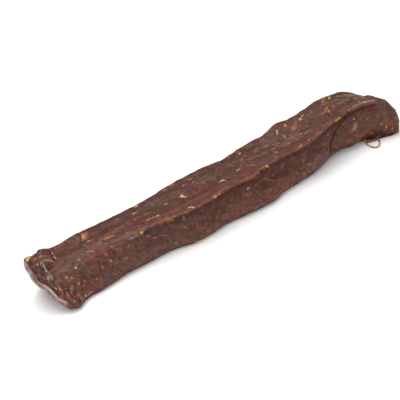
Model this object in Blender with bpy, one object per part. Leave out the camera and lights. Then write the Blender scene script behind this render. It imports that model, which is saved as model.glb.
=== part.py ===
"""Sliced landjaeger: one dried, pressed sausage stick, cut across at its left end.

The stick lies on its lower flat with its length along X, and its front side faces -Y. Four long edges
carry the shape, like the rails of a loft: at each place along the stick the section is a rounded
quadrilateral between them. The flats are hollowed, folds stand up along the stick, the cut end leans and
bulges, and the right end is blunt and droops to the table. Loose casing hangs under it in a loop.
Lengths are millimetres until the mesh is made.
"""

import bmesh
import bpy
import numpy as np
from mathutils import Vector, noise

MM = 0.001

# The long edges, as (along, across, up): where the flats would meet if the corners were sharp
TOP_BACK = [
    (-90, 16.2, 16.2), (-80, 15.0, 15.8), (-72, 14.2, 15.3), (-62, 14.2, 15.8), (-44, 12.6, 15.8),
    (-28, 12.2, 15.8), (-14, 13.6, 15.8), (2, 13.2, 15.9), (13, 11.7, 16.0), (26, 12.8, 16.4),
    (36, 12.2, 17.0), (43, 14.2, 17.6), (52, 12.8, 17.9), (60, 13.4, 18.3), (68, 15.2, 18.3),
    (80, 14.6, 18.0), (92, 12.8, 17.2),
]
TOP_FRONT = [
    (-90, -6.0, 14.6), (-76, -6.9, 15.1), (-60, -8.3, 15.5), (-44, -9.9, 15.8), (-36, -10.8, 15.9),
    (-30, -11.9, 15.9), (-26, -12.7, 15.8), (-21, -14.0, 15.8), (-15, -14.1, 15.8), (-8, -13.9, 15.9),
    (-2, -13.4, 16.0), (5, -13.9, 16.0), (11, -14.4, 16.2), (16, -13.2, 16.4), (21, -12.2, 16.5),
    (30, -12.6, 16.7), (36, -12.9, 16.6), (41, -13.4, 16.9), (47, -12.6, 17.5), (53, -11.3, 18.0),
    (59, -10.0, 18.4), (68, -9.0, 18.6), (75, -9.2, 18.6), (80, -10.2, 18.3), (86, -13.4, 16.9),
    (92, -15.4, 14.6),
]
BOTTOM_FRONT = [
    (-90, -11.6, 2.2), (-84, -14.2, 1.4), (-80, -14.6, 0.9), (-76, -12.9, 1.0), (-71, -12.5, 1.0),
    (-65, -12.3, 1.0), (-54, -10.8, 1.1), (-44, -11.2, 1.0), (-33, -11.1, 1.0), (-22, -14.7, 1.0),
    (-15, -15.1, 1.0),
    (-6, -13.9, 1.0), (9, -15.8, 1.1), (18, -16.2, 1.2), (26, -13.9, 1.4), (36, -13.1, 1.6),
    (46, -12.0, 2.2), (56, -9.2, 3.6), (61, -8.5, 3.9), (68, -9.6, 3.7), (74, -9.8, 4.6),
    (79, -12.4, 6.3), (84, -15.2, 6.4), (88, -16.4, 4.8), (92, -16.4, 3.0),
]
BOTTOM_BACK = [
    (-90, 13.4, 0.8), (-60, 13.4, 0.8), (-20, 12.8, 0.8), (20, 12.0, 1.0), (60, 12.8, 2.0),
    (80, 12.0, 2.0), (92, 7.0, 1.6),
]

# How far the rounding of each edge reaches along its flats: (along, reach)
TOP_BACK_ROUNDING = [(-90, 4.5), (-40, 4.0), (20, 3.4), (70, 4.5), (92, 5.0)]
TOP_FRONT_ROUNDING = [
    (-90, 8.8), (-62, 8.4), (-44, 4.2), (-30, 1.7), (64, 1.7), (74, 3.0), (84, 6.0), (92, 7.4),
]
BOTTOM_FRONT_ROUNDING = [(-90, 5.0), (-76, 3.8), (50, 4.0), (60, 3.0), (76, 2.0), (84, 1.8), (92, 3.0)]
BOTTOM_BACK_ROUNDING = [(-90, 4.5), (92, 4.5)]

# How deep each flat is hollowed between its edges: (along, depth)
TOP_HOLLOW = [(-90, 0.1), (-50, 0.6), (-10, 0.9), (40, 0.9), (70, 0.5), (92, 0.2)]
FRONT_HOLLOW = [(-90, -0.4), (-50, 0.4), (-20, 1.8), (52, 2.0), (66, 0.6), (80, -0.5), (92, -0.3)]
BACK_HOLLOW = [(-90, 0.2), (0, 0.6), (92, 0.2)]
BELLY = [(-90, 1.2), (40, 1.6), (60, 1.8), (72, 2.4), (77, 5.2), (84, 6.6), (92, 5.0)]
BELLY_RISE = 0.16  # share of the underside over which the belly swells
FRONT_SAG_LEAN = 0.75  # under 1, the front is hollowest above its middle

# The cut left end and the blunt right end
LEFT_X = -83.9
RIGHT_X = 91.6
CUT_ACROSS_SLOPE = 0.27
CUT_UP_SLOPE = -0.47
CUT_LEVEL = 8.0
CUT_FADE = 34.0
CUT_BULGE = 2.6
CUT_BULGE_POWER = 4
CUT_RINGS = 5
FOOT_HEIGHT = 5.0
FOOT_SET_BACK = 1.4
FOOT_POWER = 1.5
TIP_ACROSS_SLOPE = -0.20
TIP_UP_SLOPE = -0.09
TIP_CORNER = (-14.0, 6.0)
TIP_FADE = 36.0
TIP_LENGTH = 8.5
TIP_BLUNTNESS = 2.6
TIP_MIDDLE = (-5.0, 6.5)

# Folds standing up from a face: face, line of (along, across or up), height, half width
FOLDS = [
    ("top", [(20, 0.6), (32, -1.8), (39, -2.8), (50, -4.6)], 0.7, 1.5),
    ("top", [(55, -7.9), (64, -7.7), (72, -7.6), (78, -7.5), (83, -7.8)], 0.6, 1.0),
    ("top", [(-76, 2.0), (-60, 1.0), (-40, 2.6)], 0.5, 2.2),
    ("top", [(-34, -6.0), (-10, -7.0), (4, -8.0)], 0.4, 1.6),
    ("top", [(8, 8.4), (20, 7.4), (32, 4.2)], -0.8, 1.8),
    ("top", [(-28, 6.0), (-8, 5.0), (6, 6.0)], 0.5, 2.0),
    ("top", [(-6, -11.0), (6, -12.4), (17, -11.8)], 0.7, 1.5),
    ("front", [(-60, 9.0), (-30, 7.0), (0, 8.0)], 0.4, 2.4),
    ("front", [(10, 7.0), (30, 8.0), (50, 8.5)], 0.4, 2.0),
]
# Lumps: face, along, across or up, height, radius
LUMPS = [
    ("top", -77.2, 11.8, 1.5, 2.6),
    ("top", -81.4, 13.0, -1.0, 1.9),
    ("front", 6.1, 11.4, 0.5, 2.2),
    ("front", -77.0, 3.0, 0.8, 3.0),
    ("front", -72.0, 1.6, -0.7, 2.4),
    ("top", 58.0, -8.4, 0.5, 2.2),
    ("top", -84.2, 12.6, 1.2, 1.7),
    ("top", 84.2, -5.4, 2.0, 3.6),
    ("top", 85.2, -11.8, 1.4, 2.8),
    ("top", 79.5, 8.0, -0.6, 4.2),
    ("top", 81.5, 0.5, -0.5, 2.2),
]
FOLD_FADE = 5.0
EDGE_BLEND = 0.1  # share of a flat, beside each edge, where it also belongs to the next flat

# Shallow unevenness of the pressed skin: height, frequency of its two layers, and the second one's part
UNEVEN_HEIGHT = 0.22
UNEVEN_BROAD = (0.09, 0.2, 0.2)
UNEVEN_FINE = (0.2, 0.5, 0.5)
UNEVEN_FINE_SHIFT = 7
UNEVEN_FINE_SHARE = 0.6

FLOOR_FLAT = 0.45  # the belly is pressed flat at this height, before the stick is set on the table

# Sections along the stick and samples along each flat, and how far both crowd where the form turns
RINGS = 104
RING_CROWDING = 0.035
FLAT_STEPS = 11
SAMPLE_CROWDING = 0.11
SHARP_ANGLE = 50

# Loose casing under the right end, a loop and a curl: middle line and half thickness
LOOP = [
    (74.0, -7.0, 2.6), (72.8, -10.0, 1.3), (72.4, -12.8, 0.85), (72.9, -15.2, 0.85), (74.3, -15.8, 0.85),
    (76.5, -14.2, 0.9), (78.6, -11.2, 1.0), (79.4, -8.4, 1.6),
]
LOOP_RADIUS = 0.3
CURL = [(73.6, -7.8, 1.8), (75.2, -9.2, 1.1), (77.2, -10.0, 1.0), (79.0, -10.6, 1.7), (79.8, -10.8, 2.8)]
CURL_RADIUS = 0.5
STRAND_POINTS = 25

# Look of the skin
MEAT_COLOUR = (0.12, 0.055, 0.045)
MEAT_ROUGHNESS = 0.5

# Sets the box of the finished stick in the middle, on the table
ORIGIN_SHIFT = (-0.86, 0.66, -FLOOR_FLAT)


def along_curve(knots, x):
    """A smooth curve through knots of (x, value), read at x."""
    knots = np.array(knots, float)
    at = knots[:, 0]
    value = knots[:, 1]
    rise = np.diff(value) / np.diff(at)
    steepest = 2 * np.minimum(np.abs(np.append(rise[0], rise)), np.abs(np.append(rise, rise[-1])))
    slope = np.clip(np.gradient(value, at), -steepest, steepest)
    i = np.clip(np.searchsorted(at, x, side="right") - 1, 0, len(at) - 2)
    step = at[i + 1] - at[i]
    t = np.clip((x - at[i]) / step, 0.0, 1.0)
    level = value[i] * (1 + 2 * t) * (1 - t) ** 2 + value[i + 1] * t * t * (3 - 2 * t)
    lean = slope[i] * t * (1 - t) ** 2 - slope[i + 1] * t * t * (1 - t)
    return level + step * lean


def smooth_step(low, high, x):
    t = np.clip((x - low) / (high - low), 0.0, 1.0)
    return t * t * (3 - 2 * t)


def edge_at(knots, x):
    """Across and up of a long edge at x."""
    across = along_curve([(k[0], k[1]) for k in knots], x)
    up = along_curve([(k[0], k[2]) for k in knots], x)
    return np.stack([across, up], -1)


def unit(v):
    return v / np.linalg.norm(v, axis=-1, keepdims=True)


def section_samples():
    """Where a section is sampled: (flat, share along it). Samples crowd towards the edges."""
    samples = []
    for flat in range(4):
        for step in range(FLAT_STEPS):
            share = step / FLAT_STEPS
            samples.append((flat, share - SAMPLE_CROWDING * np.sin(2 * np.pi * share)))
    return samples


def flat_sag(x, flat, share):
    """How far the flat is pushed in at share of the way along it."""
    middle = np.sin(np.pi * share) ** 2
    if flat == 0:
        return along_curve(TOP_HOLLOW, x) * middle
    if flat == 1:
        return along_curve(FRONT_HOLLOW, x) * np.sin(np.pi * share ** FRONT_SAG_LEAN) ** 2
    if flat == 2:
        swell = smooth_step(0, BELLY_RISE, share) * smooth_step(0, BELLY_RISE, 1 - share)
        return -along_curve(BELLY, x) * swell
    return along_curve(BACK_HOLLOW, x) * middle


def section(x, flat, share):
    """A point of the section at x. Flat 0 is the top, 1 the front, 2 the bottom and 3 the back."""
    edges = [TOP_BACK, TOP_FRONT, BOTTOM_FRONT, BOTTOM_BACK]
    roundings = [TOP_BACK_ROUNDING, TOP_FRONT_ROUNDING, BOTTOM_FRONT_ROUNDING, BOTTOM_BACK_ROUNDING]
    before, start, end, after = [edge_at(edges[(flat + k - 1) % 4], x) for k in range(4)]
    run = end - start
    length = np.linalg.norm(run, axis=-1, keepdims=True)
    along = run / length
    inward = np.stack([-along[..., 1], along[..., 0]], -1)
    reach_a = along_curve(roundings[flat], x)[..., None]
    reach_b = along_curve(roundings[(flat + 1) % 4], x)[..., None]
    a = share * length
    b = (1 - share) * length
    point = start + run * share

    t = 0.5 + np.clip(a / reach_a, 0, 1) / 2
    near = start - unit(start - before) * reach_a
    far = start + along * reach_a
    bend_a = (1 - t) ** 2 * near + 2 * t * (1 - t) * start + t * t * far

    t = 0.5 - np.clip(b / reach_b, 0, 1) / 2
    near = end - along * reach_b
    far = end + unit(after - end) * reach_b
    bend_b = (1 - t) ** 2 * near + 2 * t * (1 - t) * end + t * t * far

    point = np.where(a < reach_a, bend_a, point)
    point = np.where(b < reach_b, bend_b, point)
    return point + inward * flat_sag(x, flat, share)[..., None]


def outward_of(flat, share):
    """How much a sample belongs to each face, as (top, front). It is half and half on the ridge."""
    near_start = 0.5 * max(0.0, 1 - share / EDGE_BLEND)
    near_end = 0.5 * max(0.0, 1 - (1 - share) / EDGE_BLEND)
    if flat == 0:
        return 1 - near_start - near_end, near_end
    if flat == 1:
        return near_start, 1 - near_start - near_end
    return 0.0, 0.0


def fold_height(line, x, level, height, half_width):
    """Height of a fold beside its middle line; it fades at both ends."""
    first, last = line[0][0], line[-1][0]
    fade = min(FOLD_FADE, (last - first) / 3)
    offset = (level - along_curve(line, np.clip(x, first, last))) / half_width
    ends = smooth_step(first - fade, first + fade, x) * (1 - smooth_step(last - fade, last + fade, x))
    return height * np.exp(-offset ** 2) * ends


def unevenness(x, across, up):
    """The shallow unevenness of the skin at an array of places."""
    rise = np.zeros(len(x))
    for n, place in enumerate(np.stack([x, across, up], -1)):
        broad = Vector(place * np.array(UNEVEN_BROAD))
        fine = Vector(place * np.array(UNEVEN_FINE)) + Vector((0, UNEVEN_FINE_SHIFT, 0))
        rise[n] = UNEVEN_HEIGHT * (noise.noise(broad) + UNEVEN_FINE_SHARE * noise.noise(fine))
    return rise


def relief(grid, samples):
    """Raises the folds, the lumps and the unevenness of the skin on the smooth stick."""
    for n, (flat, share) in enumerate(samples):
        top, front = outward_of(flat, share)
        if top == 0 and front == 0:
            continue
        x, across, up = grid[:, n].T.copy()
        rise = {"top": unevenness(x, across, up)}
        rise["front"] = rise["top"].copy()
        beside = {"top": across, "front": up}
        for face, line, height, half_width in FOLDS:
            rise[face] += fold_height(line, x, beside[face], height, half_width)
        for face, at, level, height, radius in LUMPS:
            rise[face] += height * np.exp(-((x - at) ** 2 + (beside[face] - level) ** 2) / radius ** 2)
        grid[:, n, 2] += top * rise["top"]
        grid[:, n, 1] -= front * rise["front"]


def round_tip(grid, x):
    """Draws the last sections in to the middle of the tip, on a blunt curve."""
    t = np.clip((x - (RIGHT_X - TIP_LENGTH)) / TIP_LENGTH, 0.0, 1.0)
    scale = (1 - t ** TIP_BLUNTNESS) ** (1 / TIP_BLUNTNESS)
    middle = np.array(TIP_MIDDLE)
    grid[:, :, 1:] = middle + (grid[:, :, 1:] - middle) * scale[:, None, None]


def slant_ends(grid, x):
    """Leans the cut left end, tucks in its foot, and sets the back corner of the right end back."""
    across = grid[:, :, 1]
    up = grid[:, :, 2]
    left = 1 - smooth_step(LEFT_X, LEFT_X + CUT_FADE, x)[:, None]
    foot = FOOT_SET_BACK * (1 - smooth_step(0, FOOT_HEIGHT, up)) ** FOOT_POWER
    grid[:, :, 0] += left * (CUT_ACROSS_SLOPE * across + CUT_UP_SLOPE * (up - CUT_LEVEL) + foot)
    right = smooth_step(RIGHT_X - TIP_FADE, RIGHT_X, x)[:, None]
    lean = TIP_ACROSS_SLOPE * (across - TIP_CORNER[0]) + TIP_UP_SLOPE * (up - TIP_CORNER[1])
    grid[:, :, 0] += right * lean


def stick_grid():
    """Rings of points from the rim of the cut face to the tip, as an array (ring, sample, xyz)."""
    samples = section_samples()
    share_along = np.linspace(0.0, 1.0, RINGS)
    x = LEFT_X + (RIGHT_X - LEFT_X) * (share_along - RING_CROWDING * np.sin(2 * np.pi * share_along))
    grid = np.zeros((RINGS, len(samples), 3))
    for n, (flat, share) in enumerate(samples):
        grid[:, n, 0] = x
        grid[:, n, 1:] = section(x, flat, share)
    relief(grid, samples)
    round_tip(grid, x)
    slant_ends(grid, x)
    grid[:, :, 2] = np.maximum(grid[:, :, 2], FLOOR_FLAT)
    return grid


def cut_face(rim):
    """Rings from just inside the rim to near the middle of the cut face, and its middle point."""
    middle = rim.mean(axis=0)
    rings = []
    for k in range(1, CUT_RINGS):
        scale = 1 - k / CUT_RINGS
        ring = middle + (rim - middle) * scale
        ring[:, 0] -= CUT_BULGE * (1 - scale ** CUT_BULGE_POWER)
        rings.append(ring)
    return rings, middle - np.array([CUT_BULGE, 0, 0])


def stick_mesh():
    """The closed skin of the stick: cut face, sides and tip."""
    grid = stick_grid()
    count = grid.shape[1]
    inner, middle = cut_face(grid[0])
    shape = bmesh.new()
    rings = []
    for ring in inner[::-1] + list(grid[:-1]):
        rings.append([shape.verts.new(placed(p)) for p in ring])
    for here, ahead in zip(rings, rings[1:]):
        for n in range(count):
            m = (n + 1) % count
            shape.faces.new((here[n], here[m], ahead[m]))
            shape.faces.new((here[n], ahead[m], ahead[n]))
    face_middle = shape.verts.new(placed(middle))
    tip = shape.verts.new(placed(grid[-1].mean(axis=0)))
    for n in range(count):
        m = (n + 1) % count
        shape.faces.new((face_middle, rings[0][m], rings[0][n]))
        shape.faces.new((tip, rings[-1][n], rings[-1][m]))
    mesh = bpy.data.meshes.new("sausage")
    shape.to_mesh(mesh)
    shape.free()
    mesh.shade_smooth()
    mesh.set_sharp_from_angle(angle=np.radians(SHARP_ANGLE))
    return mesh


def placed(point):
    """A point of the design, set on the table and in metres."""
    return tuple((np.array(point) + np.array(ORIGIN_SHIFT)) * MM)


def strand_of_casing(name, line, radius):
    """A thin round strand along a middle line, with closed ends."""
    line = np.array(line)
    at = np.arange(len(line), dtype=float)
    fine = np.linspace(0, len(line) - 1, STRAND_POINTS)
    path = np.stack([along_curve(list(zip(at, line[:, k])), fine) for k in range(3)], -1)
    curve = bpy.data.curves.new(name, "CURVE")
    curve.dimensions = "3D"
    curve.bevel_depth = radius * MM
    curve.bevel_resolution = 1
    curve.use_fill_caps = True
    spline = curve.splines.new("POLY")
    spline.points.add(len(path) - 1)
    for point, spot in zip(spline.points, path):
        point.co = (*placed(spot), 1.0)
    guide = bpy.data.objects.new(name + "_line", curve)
    bpy.context.scene.collection.objects.link(guide)
    bpy.context.view_layer.update()
    mesh = bpy.data.meshes.new_from_object(guide)
    bpy.data.objects.remove(guide)
    strand = bpy.data.objects.new(name, mesh)
    strand.hide_render = True
    strand.display_type = "WIRE"
    bpy.context.scene.collection.objects.link(strand)
    return strand


def fuse(obj, strand):
    joint = obj.modifiers.new(strand.name, "BOOLEAN")
    joint.operation = "UNION"
    joint.object = strand


def dried_meat():
    material = bpy.data.materials.new("dried_meat")
    material.use_nodes = True
    skin = material.node_tree.nodes["Principled BSDF"]
    skin.inputs["Base Color"].default_value = (*MEAT_COLOUR, 1.0)
    skin.inputs["Roughness"].default_value = MEAT_ROUGHNESS
    skin.inputs["Metallic"].default_value = 0.0
    return material


def main():
    for obj in list(bpy.data.objects):
        bpy.data.objects.remove(obj)
    mesh = stick_mesh()
    mesh.materials.append(dried_meat())
    sausage = bpy.data.objects.new("sausage", mesh)
    bpy.context.scene.collection.objects.link(sausage)
    fuse(sausage, strand_of_casing("casing_loop", LOOP, LOOP_RADIUS))
    fuse(sausage, strand_of_casing("casing_curl", CURL, CURL_RADIUS))


main()
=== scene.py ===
"""Looks of the landjaeger: the same stick as the solid, with its fine relief, its colours and its light.

The stick is made again from the solid's own named values on a fine grid, then wrinkled, pitted and set
with flecks of fat. Lengths are millimetres until the meshes are made. Along is X, across is Y and up is Z.
"""

import bpy
import numpy as np
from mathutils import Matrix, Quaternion, Vector, noise


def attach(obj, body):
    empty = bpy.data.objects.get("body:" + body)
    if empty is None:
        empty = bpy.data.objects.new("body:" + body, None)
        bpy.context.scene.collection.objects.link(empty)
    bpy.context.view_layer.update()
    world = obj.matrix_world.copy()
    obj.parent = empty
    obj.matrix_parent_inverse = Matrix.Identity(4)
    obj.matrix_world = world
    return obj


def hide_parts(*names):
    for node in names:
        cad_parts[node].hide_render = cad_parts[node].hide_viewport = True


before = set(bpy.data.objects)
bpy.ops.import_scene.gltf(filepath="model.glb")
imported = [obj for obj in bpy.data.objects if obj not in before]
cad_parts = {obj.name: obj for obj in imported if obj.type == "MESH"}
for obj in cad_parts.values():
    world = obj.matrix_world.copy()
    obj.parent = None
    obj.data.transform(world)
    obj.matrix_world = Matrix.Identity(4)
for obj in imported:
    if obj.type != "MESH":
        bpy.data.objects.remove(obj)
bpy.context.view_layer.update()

MM = 0.001
TINY = 1e-9

# The stick's long edges, as (along, across, up)
TOP_BACK = [
    (-90, 16.2, 16.2), (-80, 15, 15.8), (-72, 14.2, 15.3), (-62, 14.2, 15.8), (-44, 12.6, 15.8),
    (-28, 12.2, 15.8), (-14, 13.6, 15.8), (2, 13.2, 15.9), (13, 11.7, 16), (26, 12.8, 16.4),
    (36, 12.2, 17), (43, 14.2, 17.6), (52, 12.8, 17.9), (60, 13.4, 18.3), (68, 15.2, 18.3), (80, 14.6, 18),
    (92, 12.8, 17.2),
]
TOP_FRONT = [
    (-90, -6, 14.6), (-76, -6.9, 15.1), (-60, -8.3, 15.5), (-44, -9.9, 15.8), (-36, -10.8, 15.9),
    (-30, -11.9, 15.9), (-26, -12.7, 15.8), (-21, -14, 15.8), (-15, -14.1, 15.8), (-8, -13.9, 15.9),
    (-2, -13.4, 16), (5, -13.9, 16), (11, -14.4, 16.2), (16, -13.2, 16.4), (21, -12.2, 16.5),
    (30, -12.6, 16.7), (36, -12.9, 16.6), (41, -13.4, 16.9), (47, -12.6, 17.5), (53, -11.3, 18),
    (59, -10, 18.4), (68, -9, 18.6), (75, -9.2, 18.6), (80, -10.2, 18.3), (86, -13.4, 16.9),
    (92, -15.4, 14.6),
]
BOTTOM_FRONT = [
    (-90, -11.6, 2.2), (-84, -14.2, 1.4), (-80, -14.6, 0.9), (-76, -12.9, 1), (-71, -12.5, 1),
    (-65, -12.3, 1), (-54, -10.8, 1.1), (-44, -11.2, 1), (-33, -11.1, 1), (-22, -14.7, 1), (-15, -15.1, 1),
    (-6, -13.9, 1), (9, -15.8, 1.1), (18, -16.2, 1.2), (26, -13.9, 1.4), (36, -13.1, 1.6), (46, -12, 2.2),
    (56, -9.2, 3.6), (61, -8.5, 3.9), (68, -9.6, 3.7), (74, -9.8, 4.6), (79, -12.4, 6.3), (84, -15.2, 6.4),
    (88, -16.4, 4.8), (92, -16.4, 3),
]
BOTTOM_BACK = [
    (-90, 13.4, 0.8), (-60, 13.4, 0.8), (-20, 12.8, 0.8), (20, 12, 1), (60, 12.8, 2), (80, 12, 2),
    (92, 7, 1.6),
]

# How far the rounding of each edge reaches along its flats: (along, reach)
TOP_BACK_ROUNDING = [(-90, 4.5), (-40, 4), (20, 3.4), (70, 4.5), (92, 5)]
TOP_FRONT_ROUNDING = [
    (-90, 8.8), (-62, 8.4), (-44, 4.2), (-30, 1.7), (64, 1.7), (74, 3), (84, 6), (92, 7.4),
]
BOTTOM_FRONT_ROUNDING = [(-90, 5), (-76, 3.8), (50, 4), (60, 3), (76, 2), (84, 1.8), (92, 3)]
BOTTOM_BACK_ROUNDING = [(-90, 4.5), (92, 4.5)]

# How deep each flat is hollowed between its edges: (along, depth)
TOP_HOLLOW = [(-90, 0.1), (-50, 0.6), (-10, 0.9), (40, 0.9), (70, 0.5), (92, 0.2)]
FRONT_HOLLOW = [(-90, -0.4), (-50, 0.4), (-20, 1.8), (52, 2), (66, 0.6), (80, -0.5), (92, -0.3)]
BACK_HOLLOW = [(-90, 0.2), (0, 0.6), (92, 0.2)]
BELLY = [(-90, 1.2), (40, 1.6), (60, 1.8), (72, 2.4), (77, 5.2), (84, 6.6), (92, 5)]
BELLY_RISE = 0.16
FRONT_SAG_LEAN = 0.75

# The cut left end and the blunt right end
LEFT_X = -83.9
RIGHT_X = 91.6
CUT_ACROSS_SLOPE = 0.27
CUT_UP_SLOPE = -0.47
CUT_LEVEL = 8.0
CUT_FADE = 34.0
CUT_BULGE = 2.6
CUT_BULGE_POWER = 4
FOOT_HEIGHT = 5.0
FOOT_SET_BACK = 1.4
FOOT_POWER = 1.5
TIP_ACROSS_SLOPE = -0.20
TIP_UP_SLOPE = -0.09
TIP_CORNER = (-14.0, 6.0)
TIP_FADE = 36.0
TIP_LENGTH = 8.5
TIP_BLUNTNESS = 2.6
TIP_MIDDLE = (-5.0, 6.5)
FLOOR_FLAT = 0.45
ORIGIN_SHIFT = (-0.86, 0.66, -FLOOR_FLAT)

# Folds of the solid: face, line of (along, across or up), height, half width
FOLDS = [
    ("top", [(20, 0.6), (32, -1.8), (39, -2.8), (50, -4.6)], 0.7, 1.5),
    ("top", [(55, -7.9), (64, -7.7), (72, -7.6), (78, -7.5), (83, -7.8)], 0.6, 1.0),
    ("top", [(-76, 2.0), (-60, 1.0), (-40, 2.6)], 0.5, 2.2),
    ("top", [(-34, -6.0), (-10, -7.0), (4, -8.0)], 0.4, 1.6),
    ("top", [(8, 8.4), (20, 7.4), (32, 4.2)], -0.8, 1.8),
    ("top", [(-28, 6.0), (-8, 5.0), (6, 6.0)], 0.5, 2.0),
    ("top", [(-6, -11.0), (6, -12.4), (17, -11.8)], 0.7, 1.5),
    ("front", [(-60, 9.0), (-30, 7.0), (0, 8.0)], 0.4, 2.4),
    ("front", [(10, 7.0), (30, 8.0), (50, 8.5)], 0.4, 2.0),
]
# Lumps of the solid: face, along, across or up, height, radius
LUMPS = [
    ("top", -77.2, 11.8, 1.5, 2.6),
    ("top", -81.4, 13.0, -1.0, 1.9),
    ("front", 6.1, 11.4, 0.5, 2.2),
    ("front", -77.0, 3.0, 0.8, 3.0),
    ("front", -72.0, 1.6, -0.7, 2.4),
    ("top", 58.0, -8.4, 0.5, 2.2),
    ("top", -84.2, 12.6, 1.2, 1.7),
    ("top", 84.2, -5.4, 2.0, 3.6),
    ("top", 85.2, -11.8, 1.4, 2.8),
    ("top", 79.5, 8.0, -0.6, 4.2),
    ("top", 81.5, 0.5, -0.5, 2.2),
]
FOLD_FADE = 5.0
EDGE_BLEND = 0.1

# Shallow unevenness of the solid: height, frequency of its two layers, and the second one's part
UNEVEN_HEIGHT = 0.22
UNEVEN_BROAD = (0.09, 0.2, 0.2)
UNEVEN_FINE = (0.2, 0.5, 0.5)
UNEVEN_FINE_SHIFT = 7
UNEVEN_FINE_SHARE = 0.6

# The fine grid: rings along the stick, samples round each flat, rings on the cut face and where its rim is
STATIONS = 500
FLAT_STEPS = (62, 50, 32, 36)
CUT_FACE_STEPS = 32
RIM = CUT_FACE_STEPS - 1
SAMPLE_CROWDING = 0.09
TIP_CROWDING = 0.9

# Gradient noise: seeds of its table and its directions, and what makes it reach about 1
TABLE_SEED, LEANS_SEED = 11, 12
NOISE_GAIN = 1.6
BILLOW_MIDDLE = 0.25
# Shares that vary over the skin: size of the bumps, shift, middle, swing, lowest and highest
VARIED = {
    "patches": ((22, 9, 9), 3.3, 0.75, 0.5, 0, 2),
    "lobes": ((3.4, 9, 9), 77, 1, 0.6, 0, 2),
    "redness_and_shade": ((5, 3, 3), 0, 0.8, 0.5, 0, 2),
    "width": (1.3, 61, 1, 0.45, 0, 2),
    "ragged": (0.7, 87, 1, 0.8, 0.4, 2),
    "broken": (1.5, 23, 0.496, 0.72, 0.08, 0.8),
    "shreds": (0.9, 43, 0.6, 1.2, 0.1, 1),
    "strand": (1.1, 0, 1, 0.35, 0, 2),
}

# Wrinkles, as (length, width across, width up, height), and how strongly the top, front and other flats
# show them. What is drawn on the skin is pushed about by the warp
WRINKLES = [(4.6, 6.0, 4.2, 0.28), (1.9, 3.0, 1.9, 0.17)]
WRINKLE_SHARE = (0.9, 0.55, 1.1)
WRINKLE_SHIFT = 17.0
WARP_REACH, WARP_SIZE, WARP_SHIFT = 2.4, 9.0, 31.7
GRAIN_SIZE, GRAIN_SHIFT, GRAIN_HEIGHT = 1.5, 5.1, 0.08
# Puckers round the cut: they are lower near the floor, and wet
NODULE_SIZE, NODULE_SHIFT = 2.8, 41.0
NODULE_HEIGHT = 3.0
NODULE_REACH = 7.0
NODULE_MIDDLE, NODULE_SWING = 0.1, 0.5
NODULE_LOW_SHARE = 0.25
NODULE_FULL = (2.5, 6.5)
WET_SHARE, WET_SWING = 0.35, 2.2
# The painted highlight along the lip of the cut, and the top back corner of its rim, which is rounded off
LIP_HIGHLIGHT_WIDTH = 0.34
LIP_HIGHLIGHT_ENDS = (4.0, 6.0, 12.0, 14.5)
RIM_ROUNDING, RIM_ROUNDING_REACH = 1.1, 1.0
CORNER_UP, CORNER_ACROSS = (11.0, 15.0), (5.0, 10.0)
# The cut face shows above this, and is wet
CUT_SHOWS = (2.8, 5.8)
CUT_WET = 0.8
# Painted shade on the underside where the right end is undercut: along the stick, and back from its front
# edge
UNDERCUT_ENDS = (67, 73, 78, 84)
UNDERCUT_DEPTHS = (0.2, 1.4, 7.0, 9.0)
UNDERCUT_SHADE = 0.8
# Low places get painted shade: rings and samples that they are measured over, depth, and darkest shade
LOW_REACH, LOW_DEPTH, LOW_SHADE = 4, 0.40, 0.45
# How far the skin shifts along the stick at the cut, by the photograph's row, and how far in that reaches
CUT_TRIM = [
    (255, -0.5), (262, -0.9), (272, -1.2), (279, -1.6), (285, -1.2), (291, -0.5), (297, -0.5), (301, 0.3),
    (305, 0.9), (312, 1),
]
CUT_TRIM_REACH = 9.0
# The front edge of the cut lies back from the face, which so stands out more
EDGE_SET_BACK = 0.75
EDGE_SET_BACK_REACH = 3.0
EDGE_SET_BACK_POWER = 8
EDGE_SET_BACK_ENDS = (1.5, 4.0, 12.0, 14.5)

# The bead along the ridge and the groove under it, as distances down the skin from the ridge. Both start
# and end at RIDGE_ENDS and are weaker between the FOLD_ENDS
RIDGE_ENDS = (-34, -16, 79, 82)
FOLD_ENDS = (64, 67, 79, 81)
FOLD_GAIN = -0.45
BEAD_AT, BEAD_WIDTH, BEAD_HEIGHT = -0.25, 0.6, 0.30
GROOVE_AT, GROOVE_WIDTH, GROOVE_DEPTH = 0.9, 0.6, 0.22
# The lobe where the ridge steps back
LOBE_ENDS = (4.6, 12.1, 13.1, 14.2)
LOBE_AT, LOBE_WIDTH, LOBE_HEIGHT = 0.4, 1.6, 0.8
# The painted shade under the ridge, dark red, narrow and wide
RIDGE_SHADE_ENDS = (-0.1, 0.5, 1.4, 3.2)
WIDE_RIDGE_SHADE_ENDS = (0.3, 1.5, 3.0, 9.0)
WIDE_RIDGE_SHADE_SHARE = 0.35

# Painted light and shade of the skin: darker under the ridge and lighter down the front, by distance from the
# ridge; how much of that applies along the stick; across the top, darker towards the back and lighter near
# the ridge, by distance from the ridge; and a painted sheen along the top back edge
FRONT_SHADING = [(0, 0.56), (1.6, 0.56), (3, 0.66), (5, 0.74), (8.5, 0.93), (12, 1.17), (15, 1.32)]
FRONT_SHADING_SHARE = [
    (-70, 0), (-52, 0.25), (-42, 1), (28, 1), (36, 1.22), (58, 1.22), (70, 0.9), (77, 0.8), (82, 0.2),
    (92, 0.2),
]
TOP_SHADING = [(-26, 0.8), (-12, 0.86), (-5, 0.97), (-2, 1.08), (0, 1.22)]
TOP_SHADING_SHARE = [(-90, 1), (77, 1), (82, 0.3), (92, 0.3)]
BACK_EDGE_SHEEN = [(-90, 0.1), (10, 0.1), (30, 0.4), (92, 0.4)]
BACK_EDGE_SHEEN_WIDTH = 1.6

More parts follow.
